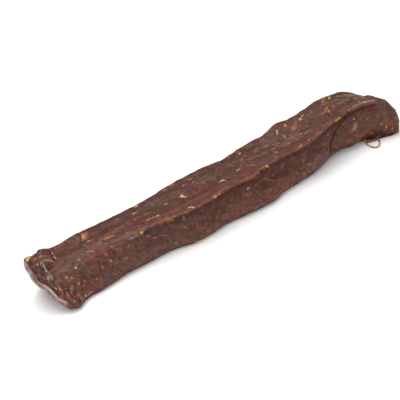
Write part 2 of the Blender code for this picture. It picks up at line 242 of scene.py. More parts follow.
# Creases and welts that only the skin has: face, line of (along, across or up), height, half width, shade.
# Those of the back show only further back than this
BACK_FROM = 5.0
CREASES = [
    ("top", [(62.0, -2.4), (68.0, -0.8), (74.5, -0.7), (78.0, -0.8)], -0.45, 0.7, 0.3),
    ("top", [(20, 2.0), (32, 0.2), (39, -0.9), (50, -2.6)], -0.30, 0.8, 0.2),
    ("top", [(12, 9.0), (17, 9.2), (22, 7.0), (27, 6.0)], -0.35, 0.8, 0.3),
    ("top", [(-34, -3.0), (-16, -4.6), (2, -4.2)], -0.10, 0.7, 0.05),
    ("back", [(-66, 8.0), (-50, 9.6), (-34, 8.6), (-22, 9.4)], -0.50, 0.9, 0.35),
    ("back", [(-30, 5.4), (-12, 6.8), (8, 5.6)], 0.55, 1.2, 0.0),
    ("back", [(2, 10.6), (18, 9.0), (30, 10.0), (46, 8.6)], -0.55, 0.9, 0.4),
    ("back", [(34, 5.0), (50, 6.2), (66, 5.0)], 0.50, 1.3, 0.0),
    ("back", [(56, 11.4), (70, 10.0), (80, 11.0)], -0.45, 0.8, 0.35),
    ("back", [(-78, 5.0), (-64, 4.2), (-52, 5.4)], 0.45, 1.1, 0.0),
]
# Strokes on the skin. Light strokes paint highlights and sheen, dark ones paint shade in creases, cracks and
# pockets and under the right end, red ones paint redness and shade under folds, plain only shapes it, and the
# other kinds are colours of flecks, of which pale and glint are painted highlights. Each: rise, half width,
# strength, then column and row of its points in the photograph
STROKES = {
    # Painted shade in creases, cracks and pockets, and under the undercut right end
    "dark": [
        (0, 3.6, 0.2, 59, 270, 66, 264, 76, 262),
        (0, 3, 0.14, 76, 274, 84, 270, 90, 268),
        (-0.6, 0.45, 0.8, 49.2, 249.8, 51.2, 253, 52.6, 256.2, 54.2, 259.5),
        (-1, 0.8, 0.8, 46.5, 262, 49.5, 264, 50.5, 267.5, 49.5, 270),
        (-0.7, 0.7, 0.8, 41.5, 262.5, 42.5, 266, 44.5, 270, 46.5, 274, 47.8, 277),
        (-0.6, 0.7, 0.7, 34, 262.5, 37, 267.5, 40.8, 272.5, 44.5, 277.5, 48.5, 282.5, 52.5, 287, 56,
         290.5, 59, 294.5),
        (-0.9, 0.7, 0.9, 70.2, 289.5, 70.4, 292.5),
        (-0.6, 0.5, 0.7, 75.4, 290.5, 76.2, 294, 76, 297.5),
        (-0.7, 0.5, 0.7, 64.6, 288.5, 66, 291.5, 66.6, 294.5),
        (-0.3, 0.4, 0.4, 56, 270, 57, 275, 56, 281, 57.5, 285),
        (-0.3, 0.32, 0.6, 96, 252.6, 101, 253, 104.5, 255.2, 107.5, 257.8),
        (-0.3, 0.6, 0.35, 116, 243.5, 122, 240.5, 128, 240, 134, 238.5),
        (-0.25, 0.5, 0.3, 136, 224, 141, 221.5, 147, 220.5),
        (-0.25, 0.6, 0.3, 262, 145.6, 270, 143.4, 278, 140.5, 285, 138, 291, 135.4),
        (-0.8, 0.42, 1, 260.8, 171.2, 262.2, 173.8, 262, 177.4),
        (-0.6, 0.28, 2.2, 346.6, 117.6, 344.4, 120, 342.4, 122.8, 339.6, 126.6, 336.8, 130.8, 334.6,
         134.8, 332.8, 139, 331.8, 143, 331.4, 147, 331.2, 152),
        (-0.6, 0.28, 2, 348.6, 111.8, 348, 114.6, 346.6, 117.4),
        (-0.35, 0.28, 0.25, 347.6, 116.2, 351, 113.8, 355, 111.6, 359, 109.6, 363, 107.6, 367, 105.9, 371,
         104.6, 376, 104.2),
        (-0.5, 0.3, 1.6, 331.4, 153, 334.6, 150.8, 338, 148.8),
        (-0.35, 0.28, 0.6, 355.6, 120.4, 358.6, 121.6, 361.6, 121.8),
        (-0.3, 0.3, 0.5, 364.6, 119, 367, 116.4, 368.6, 113),
        (-0.3, 0.32, 0.4, 369, 111.6, 370.8, 110.4),
        (-0.2, 0.32, 0.5, 382.6, 109.6, 386, 111.2, 388, 110.4),
        (-0.35, 0.95, 1.2, 378.5, 135.6, 385, 135.3, 391, 134.2, 395, 132.8),
    ],
    "plain": [
        (0.5, 1.8, 0, 41, 253, 47, 253),
        (0.4, 1.4, 0, 43.5, 250.8, 46.5, 250.4),
        (-1.1, 1, 0, 35.6, 252, 37, 251.2),
        (0.5, 1.4, 0, 63.5, 299.6, 67, 301, 70.5, 303),
        (1.1, 2.8, 0, 70, 304, 73.5, 305.4, 77, 305),
        (0.6, 2.4, 0, 385.5, 103.5, 390, 108),
    ],
    # Painted glints on the wet puckers
    "glint": [
        (0.3, 0.28, 1.1, 52.8, 253.2, 54.2, 255.6, 55.8, 258.8),
        (0.2, 0.26, 1.1, 44.8, 259.4, 47, 258.8, 49.6, 259.4),
        (0.2, 0.34, 1.1, 51, 259.6, 52.4, 260.8),
        (0.3, 0.24, 1, 49.4, 275.5, 50.3, 279),
        (0.3, 0.34, 1.1, 56.8, 288, 58, 288.8),
    ],
    # Painted highlights and sheen on folds, welts and puckers
    "light": [
        (0.2, 0.34, 2.4, 44, 260.4, 47, 259.8, 50.4, 260.6),
        (0.8, 0.8, 1.3, 49.5, 272.5, 52, 275, 52.5, 278.5, 51.5, 281),
        (0.5, 0.6, 0.5, 52.5, 281.5, 54.5, 284, 54, 286),
        (0.4, 0.5, 1, 78.6, 289, 80, 292.5, 79.6, 296.5),
        (0.3, 0.5, 0.8, 71, 299, 73, 301.5),
        (0.2, 0.35, 0.6, 62.5, 271, 66, 270, 71, 270.5),
        (0.2, 0.35, 0.5, 58.5, 262.5, 61.5, 261, 64, 262.5),
        (0.2, 0.35, 0.4, 57.5, 274, 60.5, 272.5, 63, 273.5),
        (0.2, 0.35, 0.4, 67, 279.5, 70, 281.5, 73, 281),
        (0.3, 0.32, 1.6, 85, 251.8, 88, 250.6, 94, 250.8),
        (0.2, 0.36, 1, 72.5, 236.5, 76, 237, 78.5, 239.6),
        (0.2, 0.36, 0.9, 75, 241, 78.4, 243.4),
        (0.2, 0.36, 0.8, 64.4, 241, 66.8, 240, 69, 241.4),
        (0.25, 0.32, 1.3, 82.6, 245, 85.4, 242.2, 87.6, 241.4),
        (0.35, 0.36, 2.2, 97.5, 243.9, 100, 242.7, 104, 242.6, 108, 243.4),
        (0.2, 0.35, 0.5, 108, 243.4, 112, 245.5, 116, 248.2, 119, 249),
        (0.25, 0.32, 1.4, 129, 239, 133, 237.2, 138.5, 235),
        (0.2, 0.35, 0.5, 112.5, 232, 117, 228.5, 122.5, 225, 127, 221.5, 131.5, 219.3),
        (0.15, 0.3, 0.35, 120, 236.5, 126, 233, 132, 231),
        (0.3, 0.4, 0.5, 134.5, 219, 138, 216, 141, 215.2),
        (0.3, 0.35, 1.3, 172.5, 216.6, 176, 215, 180, 213.6),
        (0.2, 0.3, 0.5, 213, 180.5, 215, 176, 217, 171.5, 218.6, 167),
        (0.3, 0.7, 0.5, 230, 177, 234, 175.8, 237.5, 174.5),
        (0.4, 0.32, 1.7, 253, 150.5, 258, 148.4, 262, 147, 266, 146, 270, 145, 274, 143.8, 278, 142.3,
         282, 141, 288, 138.6, 291, 137.3, 295, 135.4, 299, 133.6),
        (0.3, 0.3, 0.6, 256, 170.8, 258.8, 171.2, 259.4, 173.8, 258.4, 176.2),
        (0.3, 0.45, 1.5, 349, 109.4, 353, 106.8, 357, 104.8, 361, 103, 366, 101.6, 371, 100.6, 376, 100),
        (0.2, 0.32, 0.5, 322, 125.6, 330, 119.8, 338, 114.8, 345, 111.2),
        (0.3, 0.45, 0.35, 361.6, 119.6, 364.2, 116.6, 366.8, 113.4),
        (0.3, 0.45, 1.4, 337, 96.2, 343, 95, 350, 94.4, 356, 95.2),
        (0.3, 0.45, 1.2, 322, 105, 328, 102, 335, 99.6, 343, 98.6),
        (0.3, 0.45, 1.3, 333, 105.4, 341, 101.8, 349, 98.8, 357, 97.4),
        (0.2, 0.25, 0.8, 373.8, 101.8, 375, 103.4, 376.6, 102.8),
    ],
    # Redness along the hump by the cut, and painted red shade under the fold of the right end
    "red": [
        (0, 0.9, 0.8, 38, 251.6, 42, 250.6, 46.4, 250.4),
        (0, 0.55, 1, 350, 115.6, 356, 112.6, 362, 109.4, 368, 106.8, 374, 105.4),
    ],
    # Painted highlights
    "pale": [
        (0.5, 0.3, 1, 43, 261.5, 44.6, 264.5, 46.8, 268, 47.6, 270.5),
        (0.4, 0.48, 0.9, 38.4, 264.2, 40.5, 265.4),
        (0.2, 0.32, 1.1, 53, 276, 53.6, 278.5),
        (0.2, 0.38, 0.9, 66.8, 289, 67.6, 292.5, 69.6, 296),
        (0.1, 0.2, 0.8, 202.6, 186.5, 202.6, 190),
        (0.2, 0.5, 0.75, 184, 215, 184.4, 216.6, 183.8, 219),
        (0.1, 0.2, 0.7, 281.8, 132.6, 283.6, 135, 285.4, 137.6),
        (0.1, 0.25, 1, 308, 139.4, 308.5, 139.8),
        (0.1, 0.25, 1, 331.2, 112, 331.8, 112.4),
    ],
    "rust": [
        (0.3, 0.45, 0.9, 63, 288.5, 64.3, 292, 65.5, 296),
        (0.2, 0.4, 0.9, 58.6, 296.6, 62.6, 298.4),
        (0.1, 0.25, 1, 201.3, 186, 200.8, 188.6, 199.8, 191.2),
        (0.1, 0.2, 0.5, 247, 181, 251, 179.4, 257, 176.8),
        (0.15, 0.3, 0.6, 291, 155, 293, 157.4, 292.6, 160.6),
        (0.2, 0.25, 0.9, 337, 146.6, 338.6, 148.4, 341, 148.6),
        (0.1, 0.2, 1, 353.4, 123.6, 352, 126.4, 350.4, 129.6, 349.2, 132.6),
        (0.1, 0.25, 0.8, 362, 140.4, 366, 137.4, 370, 134, 373, 132.4),
    ],
    "tan": [
        (0.3, 0.45, 0.8, 73, 286.4, 72.4, 289.4),
        (0.15, 0.2, 1, 145.5, 219.3, 149, 218.2, 152, 217.3),
        (0.1, 0.18, 0.9, 162, 235.6, 165, 235.8, 167.6, 234.8),
        (0.1, 0.3, 0.7, 104.8, 252, 105.8, 254.2),
        (0.1, 0.2, 0.9, 154, 238.6, 156.8, 237.2),
        (0.1, 0.25, 0.7, 196.5, 222, 198.5, 225, 198, 228),
        (0.1, 0.3, 0.7, 224.5, 216.8, 227, 217.4),
        (0.1, 0.32, 0.6, 185.5, 226, 188, 228),
        (0.1, 0.18, 0.9, 302.6, 156.2, 305, 153.8, 307, 151.6),
        (0.08, 0.2, 0.7, 265.6, 177.6, 268, 180.2, 272, 180.8, 275, 179.8),
    ],
    "olive": [
        (0.1, 0.18, 1, 130.2, 244, 129.6, 246.4, 128.6, 248.2),
        (0.1, 0.34, 1, 218, 181.8, 220.5, 181.2, 222, 180.2),
    ],
    "amber": [
        (0.2, 0.32, 1, 214.6, 197.6, 216.4, 196.2),
        (0.1, 0.22, 1, 217.4, 195, 219.6, 193.2),
        (0.15, 0.28, 0.9, 298.6, 147.8, 300.6, 146, 302, 144),
    ],
    "orange": [
        (0.15, 0.3, 1, 212, 196.4, 215, 195.4),
        (0.15, 0.28, 1, 259, 169.5, 262, 168.2, 265, 166.4),
        (0.1, 0.2, 1, 272, 149.4, 275, 147.6, 278.2, 144.8),
        (0.1, 0.2, 0.9, 316, 134.5, 319.5, 132.2, 322, 130.6),
    ],
    "bright": [
        (0.1, 0.22, 1, 188.8, 207.2, 191, 206.6, 194.3, 207.3),
        (0.15, 0.62, 1, 221.6, 180.6, 222.8, 179.8),
        (0.15, 0.5, 1, 181.6, 194.8, 182.4, 195.8),
        (0.2, 0.32, 1, 266.4, 165.6, 268, 166.8),
    ],
    "yellow": [
        (0.1, 0.24, 1, 223.5, 179.4, 225.8, 180.6),
        (0.1, 0.18, 1, 247.3, 165.4, 251, 165, 255, 164.6),
        (0.1, 0.22, 0.9, 274, 151.8, 277, 151, 278.6, 151.8),
        (0.1, 0.2, 1, 358.8, 100.6, 359.4, 102.4, 361.4, 102.6),
        (0.1, 0.2, 0.9, 361.6, 98, 364.4, 97.6),
    ],
    "cream": [
        (0.1, 0.4, 1, 182.8, 196.6, 184.4, 197.2, 186.2, 196.6),
        (0.1, 0.2, 1, 363.6, 102.2, 365.4, 101.6),
    ],
}
STROKE_STEP = 1.5
# Light strokes paint highlights, dark ones painted shade, red ones redness and painted shade
STROKE_TINTS = {"light": "pale", "dark": "painted_shade", "red": "redness_and_shade"}
PATCHY_STROKES = {"light": "broken", "pale": "shreds", "glint": "shreds"}

# Colours, all linear
DEEP = (0.066, 0.0220, 0.0138, 1.0)
MEAT = (0.106, 0.0370, 0.0236, 1.0)
RUDDY = (0.128, 0.0310, 0.0200, 1.0)
GREYISH = (0.104, 0.0520, 0.0370, 1.0)
FRONT_TINT = (1.00, 1.16, 1.26, 1.0)
CUT = (0.250, 0.165, 0.125, 1.0)
CUT_DARK = (0.120, 0.060, 0.042, 1.0)
CUT_FAT = (0.420, 0.340, 0.260, 1.0)
HALO = (0.170, 0.050, 0.020, 1.0)
CASING_PALE = (0.420, 0.250, 0.100, 1.0)
CASING_DARK = (0.110, 0.060, 0.035, 1.0)
CURL_PALE = (0.130, 0.042, 0.014, 1.0)
CURL_DARK = (0.030, 0.010, 0.006, 1.0)
WHITE = (1.0, 1.0, 1.0, 1.0)
FLOOR_COLOUR = (0.95, 0.95, 0.95, 1.0)
# Tints of the marks: the most that shows of each, and its colour. All but the wet one are painted light and
# shade: redness and shade under the ridge, shade in creases and low places, highlights, and the highlight on
# the cut's lip
TINTS = {
    "redness_and_shade": (0.95, (0.122, 0.0250, 0.0190, 1.0)),
    "painted_shade": (0.8, (0.032, 0.0090, 0.0070, 1.0)),
    "pale": (0.75, (0.230, 0.1550, 0.1350, 1.0)),
    "wet": (0.75, (0.070, 0.0160, 0.0120, 1.0)),
    "lip_highlight": (0.70, (0.440, 0.390, 0.380, 1.0)),
}
FLECK_COLOURS = {
    "bright": (0.60, 0.42, 0.17),
    "amber": (0.46, 0.215, 0.05),
    "cream": (0.46, 0.31, 0.125),
    "yellow": (0.36, 0.19, 0.055),
    "orange": (0.28, 0.095, 0.026),
    "ochre": (0.22, 0.074, 0.024),
    "tan": (0.22, 0.105, 0.058),
    "olive": (0.19, 0.12, 0.050),
    "red": (0.165, 0.036, 0.020),
    "rust": (0.15, 0.036, 0.016),
    "shard": (0.200, 0.140, 0.090),
    # Pale and glint flecks are painted highlights
    "pale": (0.25, 0.20, 0.195),
    "glint": (0.30, 0.270, 0.275),
    "dim": (0.040, 0.016, 0.011),
}

# How much wider than high a speck is across the stick, and a mottle
WIDER = 1.25
MOTTLE_WIDER = 1.6
# Mottles are drawn out along a line that falls forwards on the front, by this share and angle
SLANT_STRETCH = 1.22
SLANT = 0.7
# Mottles of the meat: shift, then as the patterns
MOTTLES = {
    "meat": (0.0, 2.4, 3.0, 0.34, 0.66, 0.0, 1.0),
    "ruddy": (40.0, 2.4, 3.0, 0.50, 0.72, 0.0, 1.0),
    "greyish": (80.0, 3.0, 3.0, 0.50, 0.70, 0.0, 0.6),
    "fine": (20.0, 1.0, 2.0, 0.3, 0.7, 0.80, 1.20),
    "coarse": (60.0, 2.0, 3.0, 0.32, 0.68, 0.72, 1.34),
}
# Patterns of the colours: size, detail, the part of the noise that is used, and what it runs from and to
PATTERNS = {
    "zone": (1.8, 3.0, 0.35, 0.65, 0.35, 1.0),
    "cut": (2.4, 3.0, 0.36, 0.60, 0.0, 1.0),
    "fleck edge": (0.5, 3.0, 0.3, 0.7, -0.14, 0.14),
    "roughness": (1.6, 3.0, 0.3, 0.7, 0.40, 0.62),
    "casing": (2.2, 3.0, 0.40, 0.60, 0.0, 1.0),
}
PATTERN_ROUGHNESS = 0.6
COARSE_SHARE = 0.8
RUDDY_ZONE_SHARE, GREY_ZONE_SHARE, DEEP_ZONE_SHARE = 0.85, 0.75, 0.55
# Specks all over: stretch and shift of the pattern, cell, share of cells with one, smallest and largest
# radius, colour and strength
SPECKS = [
    ((1.1, 3.0), 5.0, 0.50, 0.60, 1.20, "tan", 0.34),
    ((1.0, 61.0), 2.7, 0.50, 0.32, 0.62, "tan", 0.42),
    ((1.0, 131.0), 3.4, 0.42, 0.30, 0.80, "red", 0.55),
    ((1.1, 151.0), 3.8, 0.45, 0.30, 0.85, "dim", 0.60),
    ((1.2, 91.0), 3.2, 0.42, 0.22, 0.48, "tan", 0.70),
    ((1.1, 33.0), 2.0, 0.28, 0.16, 0.34, "tan", 0.75),
    ((1.2, 47.0), 2.4, 0.22, 0.16, 0.32, "orange", 0.70),
    ((1.3, 71.0), 2.9, 0.28, 0.18, 0.38, "olive", 0.80),
    ((1.2, 171.0), 3.0, 0.26, 0.20, 0.42, "tan", 0.95),
    ((1.4, 191.0), 4.0, 0.30, 0.22, 0.50, "dim", 0.80),
    ((1.3, 9.0), 4.4, 0.36, 0.24, 0.55, "orange", 0.65),
    ((1.5, 17.0), 5.6, 0.30, 0.22, 0.48, "yellow", 0.85),
    ((1.4, 29.0), 6.6, 0.26, 0.20, 0.42, "cream", 0.9),
    ((1.3, 53.0), 4.6, 0.35, 0.40, 0.90, "red", 0.55),
]
SPECK_WARP = (0.8, 0.5)
SPECK_EDGE = 0.6
SPECK_ONSET = 0.01
SPECK_LEAST = 0.35
# Fat on the cut face: warp, then as the specks, and the least and most of it that shows
CUT_FAT_WARP = (1.4, 1.1)
CUT_FAT_SPECKS = (2.6, 0.45, 0.25, 0.95)
CUT_FAT_SHARES = (0.35, 0.8)
# Where a fleck's field starts and is full, for its halo and itself, and the most that shows
HALO_EDGE, HALO_SHARE = (0.16, 0.38), 0.5
FLECK_EDGE, FLECK_SHARE = (0.34, 0.68), 0.95
# Fine bumps and gloss: the coat is stronger where the skin is wet and weaker in the painted red shade
BUMP_SIZES = ((1.1, 3.0), (0.35, 2.0))
BUMP = {"Strength": 0.8, "Distance": 0.00012}
COAT_WEIGHTS = (0.22, 1.0)
RED_SHADE_DULLS = 0.14
GLOSS = {"Specular IOR Level": 0.06, "Coat Roughness": 0.22, "Coat IOR": 1.4}

# Flecks of fat that stand out, and pale flecks that are painted highlights, by colour and by the pixel of the
# photograph where each shows: column, row, and length along the stick and width in millimetres. A fifth
# number makes it lie at an angle, in degrees up from the photograph's right
FLECKS = {
    "tan": [
        (35.9, 258.5, 1.4, 1), (42, 256.5, 1.6, 1.2), (42, 262.8, 1, 0.8), (83.6, 263.7, 0.8, 0.6),
        (62, 261.2, 0.9, 0.6), (72, 287.9, 1.3, 1.2), (62.8, 289.8, 1.3, 0.9), (84.3, 285.5, 1, 0.9),
        (69.6, 280.6, 0.9, 0.8), (74.4, 296.6, 0.9, 1), (103.2, 267.2, 0.9, 1.1), (97.5, 279, 1, 0.8),
        (106.3, 254.2, 1, 0.8), (117.4, 218.7, 1.2, 0.9), (135.2, 218.6, 1.1, 0.8), (148.6, 219, 2, 0.8),
        (198.1, 176.5, 1.4, 0.7), (204.5, 181.9, 1.2, 0.9), (126.4, 258.6, 1.4, 1), (185.7, 227.5, 1, 0.8),
        (219.8, 162.5, 0.8, 0.6), (228.8, 164.7, 0.9, 0.6), (256.4, 185, 1.6, 0.5),
        (309.7, 114.6, 0.9, 0.7), (312.3, 111.6, 0.9, 0.7), (274, 174.7, 0.8, 0.6), (309.4, 164.2, 1.4, 1),
        (313.4, 168.6, 0.8, 0.9), (304.4, 174, 1.6, 1.2), (318.6, 154.4, 1, 0.5), (283, 166.4, 1.2, 0.7),
        (277.6, 179.4, 0.8, 0.6), (324.7, 144.8, 1.2, 0.8), (329, 134.6, 1.3, 1), (386.4, 120.4, 0.8, 0.6),
        (371.8, 133.2, 1.8, 0.6), (284.9, 136.3, 3.6, 1.2, -55), (80.6, 298.2, 4.8, 1.5, 80),
        (72, 301, 3.4, 1.6, 75), (303.8, 160.4, 4.6, 1.6, 72),
    ],
    "orange": [
        (54.6, 247.5, 0.8, 0.6), (92.4, 239.6, 1.8, 0.8), (108.5, 236.6, 3.2, 1.8), (146, 213.8, 1.6, 0.7),
        (148.5, 235.8, 1, 0.9), (169.8, 220, 1.4, 0.9), (173, 219.8, 1.2, 0.6), (164.3, 189, 2.2, 0.8),
        (172.5, 184, 1.8, 0.8), (190.9, 178.2, 1.5, 0.9), (268.1, 204.2, 1.6, 0.8), (256, 151.2, 0.8, 1.2),
        (288.6, 143.8, 1.5, 0.8), (272.2, 134, 1, 0.9), (314.8, 162.8, 0.9, 0.9), (321.7, 131.6, 0.9, 0.5),
        (329.4, 104.3, 0.8, 0.8), (334.1, 105.4, 0.8, 0.7), (385.6, 129, 0.8, 0.7),
        (358.5, 141.4, 1.8, 0.7), (360.6, 136.6, 0.9, 0.9), (322.8, 100, 2.8, 1.4, 60),
        (336.6, 121.2, 2.6, 2, 50), (392.6, 128.6, 4.2, 2, 84), (85.2, 236, 6.6, 4.2, 75),
        (294.2, 128.6, 3, 2, 20), (248.2, 194.8, 3.4, 1.4, 15), (250.6, 193.2, 2.4, 1.4, 60),
    ],
    "red": [
        (60.6, 244.8, 3, 2.2), (61.4, 297.6, 1.4, 1), (85, 292.6, 1.3, 1), (66.5, 295.3, 1.4, 1),
        (75, 300.5, 1.2, 0.9), (94.6, 267.1, 1.9, 1.5), (96.6, 284.2, 1, 0.8), (101.5, 239.4, 2, 0.8),
        (141.4, 242.6, 1.5, 1), (161.4, 223, 1.8, 1.1), (222.9, 201, 1.3, 1.2), (246.4, 174.3, 2.6, 1.3),
        (250, 209, 1.6, 0.9), (248.7, 158, 2, 1.2), (297.6, 160.8, 1, 0.7), (297.2, 125.2, 3, 1.2, 50),
        (244.6, 154.8, 3.8, 1.6, 65), (244.6, 194.6, 3.6, 2, 10),
    ],
    "cream": [
        (75.7, 267, 0.9, 0.9), (86, 296, 0.9, 0.7), (113.6, 235.3, 1, 0.5), (135.7, 205.9, 1.6, 0.8),
        (153.2, 216.8, 1.2, 0.8), (183.9, 184.6, 1.2, 0.7), (238.8, 169.7, 2, 0.7),
        (248.3, 188.8, 0.8, 0.9), (262.3, 149.9, 2, 0.6), (300.5, 133.2, 1.3, 0.5),
        (305.6, 133.1, 0.8, 0.5), (354.6, 119.6, 0.7, 0.7), (329.3, 98.2, 3, 1.8, 50),
        (277, 131.3, 3, 2, -80), (277.5, 134.2, 2.2, 1.4, -80), (302.4, 115.9, 2.6, 1.6, 60),
        (29.2, 258.2, 3.2, 2.4, 20),
    ],
    "yellow": [
        (66.5, 277.5, 1, 0.7), (72, 277.5, 1.2, 0.7), (78.8, 259.2, 1, 0.7), (81.8, 253.9, 0.9, 0.6),
        (133.9, 212.6, 2.6, 1), (166.4, 203.6, 2, 0.9), (211.2, 165.2, 0.8, 0.6), (228.8, 156.2, 0.8, 0.6),
        (227.9, 176.5, 0.8, 0.6), (287, 189.2, 2.8, 0.5), (292.5, 186, 2.8, 0.5), (239.7, 152.5, 1.2, 0.8),
        (236.6, 155.7, 0.8, 0.6), (381.4, 124.4, 0.9, 0.7), (386.5, 126.5, 3.6, 1.4, 80),
        (78.6, 283.4, 2.8, 2, 60), (326.8, 108.2, 3.4, 1.5, 52), (328.9, 111.2, 2.4, 1.5, -40),
    ],
    "olive": [
        (91.2, 292.3, 2.4, 1.2), (155.4, 238, 1, 0.9), (85, 281.4, 3.4, 1.4, 85),
    ],
    # Painted highlights
    "pale": [
        (111.3, 261, 0.8, 1.1), (152.5, 204.6, 0.9, 0.6), (176.4, 243, 0.8, 0.6), (241.3, 165.6, 0.8, 0.8),
        (295.7, 121.6, 1, 0.8), (242, 159.6, 4.6, 1.1, 52),
    ],
    "amber": [
        (88.6, 240.8, 1.5, 1.6), (141.4, 232.1, 1.3, 1.2), (336.6, 120.8, 1.6, 0.8),
        (339.6, 118, 2.4, 1.4, 20), (338, 119.2, 2.6, 1.2, 60), (60.4, 288.4, 2.6, 1.7, 80),
        (84.2, 236.4, 4.6, 2, 80), (285.2, 125.5, 2.6, 2.2, 60), (300.4, 119, 3.4, 2.2, 20),
        (324.8, 110.4, 2.2, 1.2, 60),
    ],
    "bright": [
        (157.8, 215.4, 1.5, 1.3), (82.6, 237, 5.4, 1.3, -80),
    ],
    "ochre": [
        (166.8, 218, 1.6, 2), (323.4, 100.6, 5.6, 3, 60), (293.8, 127.4, 6.2, 4.4, 62),
        (325, 111, 4.4, 2.2, 60), (322.8, 113.2, 4, 1.6, 30),
    ],
    "rust": [
        (244.9, 155, 3.4, 1.6, 65), (79.6, 286.8, 4.4, 1.7, 78), (352, 128.4, 9, 1.1, 64),
        (293.4, 159, 3.2, 2, 70),
    ],
    "shard": [
        (354.4, 127, 8.4, 3.6, 66),
    ],
}
FLECK_RISE = 0.20
FLECK_RISES = (0.35, 0.8)
FLECK_RAGGED, FLECK_RAGGED_MOST, FLECK_GRAIN = 0.45, 1.5, 0.8
FLECK_MARGIN = 0.5
FLECK_DEPTH = 1.5
# Flecks strewn over the back and the underside, which the photograph doesn't show: how many, their sizes
# and the colours in turn. They keep this many rings from both ends, but one in so many is on the tip
STREWN = 90
STREWN_SEED = 7
STREWN_LENGTH = (0.7, 2.6)
STREWN_WIDTH = (0.5, 1.3)
STREWN_COLOURS = ("tan", "yellow", "ochre", "cream", "orange", "red", "tan", "olive")
STREWN_FROM_END = 8
STREWN_ON_TIP = 9
TIP_RINGS = (4, 26)
# Soft zones of a redder brown, of a greyer brown that is partly painted sheen, and of a darker brown that is
# partly
# painted shadow: column, row, length along the stick and width
ZONES = {
    "ruddy": [
        (141, 221, 16, 5), (196, 198, 24, 3.5), (248, 172, 10, 4), (274, 127, 9, 6), (95, 253, 9, 4),
        (70, 300, 9, 3.5), (248, 184, 22, 2.4), (251, 175.5, 9, 4), (309, 149, 26, 3), (60.6, 244.8, 4, 3),
        (42, 252.6, 6, 4), (326, 104, 6, 5), (288, 186, 20, 3), (352, 140, 12, 3), (215, 232, 14, 2.5),
    ],
    "grey_and_sheen": [
        (143, 240, 26, 6), (362, 119, 20, 9), (246, 203, 24, 5), (84, 270, 10, 6), (344, 98, 26, 12),
        (318, 160, 18, 4), (190, 222, 20, 4), (366, 101, 16, 8), (382, 112, 16, 10), (62, 274, 6, 6),
        (70, 280, 10, 8), (107, 278, 16, 5), (144, 257, 24, 4), (240, 169, 14, 5), (317, 125, 10, 8),
        (272, 156, 22, 4), (245, 152, 10, 5),
    ],
    "deep": [
        (142, 208, 26, 10), (112, 219, 28, 9), (96, 226, 14, 6), (110, 239, 10, 4), (68, 259, 10, 6),
        (92, 243, 10, 5), (196, 182, 14, 6),
    ],
}
# The photograph's width and height, the least that the skin faces the camera to be found by a pixel, and how
# many pixels off a nearer place may be
IMAGE = 400
FACING_LEAST = 0.05
PIXEL_SLACK = 0.6

# Loose casing under the right end: middle lines and thickness
LOOP = [
    (74.0, -7.0, 2.6), (72.8, -10.0, 1.3), (72.4, -12.8, 0.85), (72.9, -15.2, 0.85), (74.3, -15.8, 0.85),
    (76.5, -14.2, 0.9), (78.6, -11.2, 1.0), (79.4, -8.4, 1.6),
]
LOOP_RADIUS = 0.3
CURL = [(73.6, -7.8, 1.8), (75.2, -9.2, 1.1), (77.2, -10.0, 1.0), (79.0, -10.6, 1.7), (79.8, -10.8, 2.8)]
CURL_RADIUS = 0.75
STRAND_POINTS = 60
STRAND_SIDES = 10
LOOP_ROUGHNESS, CURL_ROUGHNESS = 0.4, 0.25

# Light of the studio: the sky at the horizon and overhead, and the lamps, as name, place, size and watts
HORIZON_LIGHT = 0.25
HORIZON_TOP = 0.45
ZENITH_LIGHT = 1.2
LAMPS = [
    ("overhead", (-0.1, 0.15, 0.9), (0.8, 0.6), 4.6),
    ("glint", (0.25, 0.42, 0.68), (0.18, 0.18), 1.6),
    ("fill", (-0.55, -0.75, 0.42), (0.7, 0.5), 5.0),
]
LAMP_AIM = (0.0, 0.0, 0.008)
FLOOR_HALF = 3.0
FLOOR_ROUGHNESS = 0.9

# Camera, from the middle of the stick
CAMERA_TARGET = (-0.00904, 0.00066, 0.0090)
CAMERA_AZIMUTH = -31.47
CAMERA_ELEVATION = 28.58
CAMERA_ROLL = -11.92
CAMERA_DISTANCE = 0.75
CAMERA_LENS = 165.7
CAMERA_SENSOR = 36.0
CAMERA_CLIP = 0.01


def along_curve(knots, x):
    """A smooth curve through knots of (x, value), read at x."""
    knots = np.array(knots, float)
    at = knots[:, 0]
    value = knots[:, 1]
    rise = np.diff(value) / np.diff(at)
    steepest = 2 * np.minimum(np.abs(np.append(rise[0], rise)), np.abs(np.append(rise, rise[-1])))
    slope = np.clip(np.gradient(value, at), -steepest, steepest)
    i = np.clip(np.searchsorted(at, x, side="right") - 1, 0, len(at) - 2)
    step = at[i + 1] - at[i]
    t = np.clip((x - at[i]) / step, 0.0, 1.0)
    level = value[i] * (1 + 2 * t) * (1 - t) ** 2 + value[i + 1] * t * t * (3 - 2 * t)
    lean = slope[i] * t * (1 - t) ** 2 - slope[i + 1] * t * t * (1 - t)
    return level + step * lean


def smooth_step(low, high, x):
    t = np.clip((x - low) / (high - low), 0.0, 1.0)
    return t * t * (3 - 2 * t)


def between(ends, x):
    """Rises from 0 to 1 between the first two ends, and falls again between the last two."""
    return smooth_step(ends[0], ends[1], x) * (1 - smooth_step(ends[2], ends[3], x))


def bell(offset, width=1.0):
    """1 in the middle, and almost 0 two widths away."""
    return np.exp(-(offset / width) ** 2)


def edge_at(knots, x):
    """Across and up of a long edge at x."""
    across = along_curve([(k[0], k[1]) for k in knots], x)
    up = along_curve([(k[0], k[2]) for k in knots], x)
    return np.stack([across, up], -1)


def unit(v):
    return v / np.maximum(np.linalg.norm(v, axis=-1, keepdims=True), TINY)


def section_samples():
    """Where a section is sampled: (flat, share along it). Samples crowd towards the edges."""
    samples = []
    for flat, steps in enumerate(FLAT_STEPS):
        for step in range(steps):
            share = step / steps
            samples.append((flat, share - SAMPLE_CROWDING * np.sin(2 * np.pi * share)))
    return samples


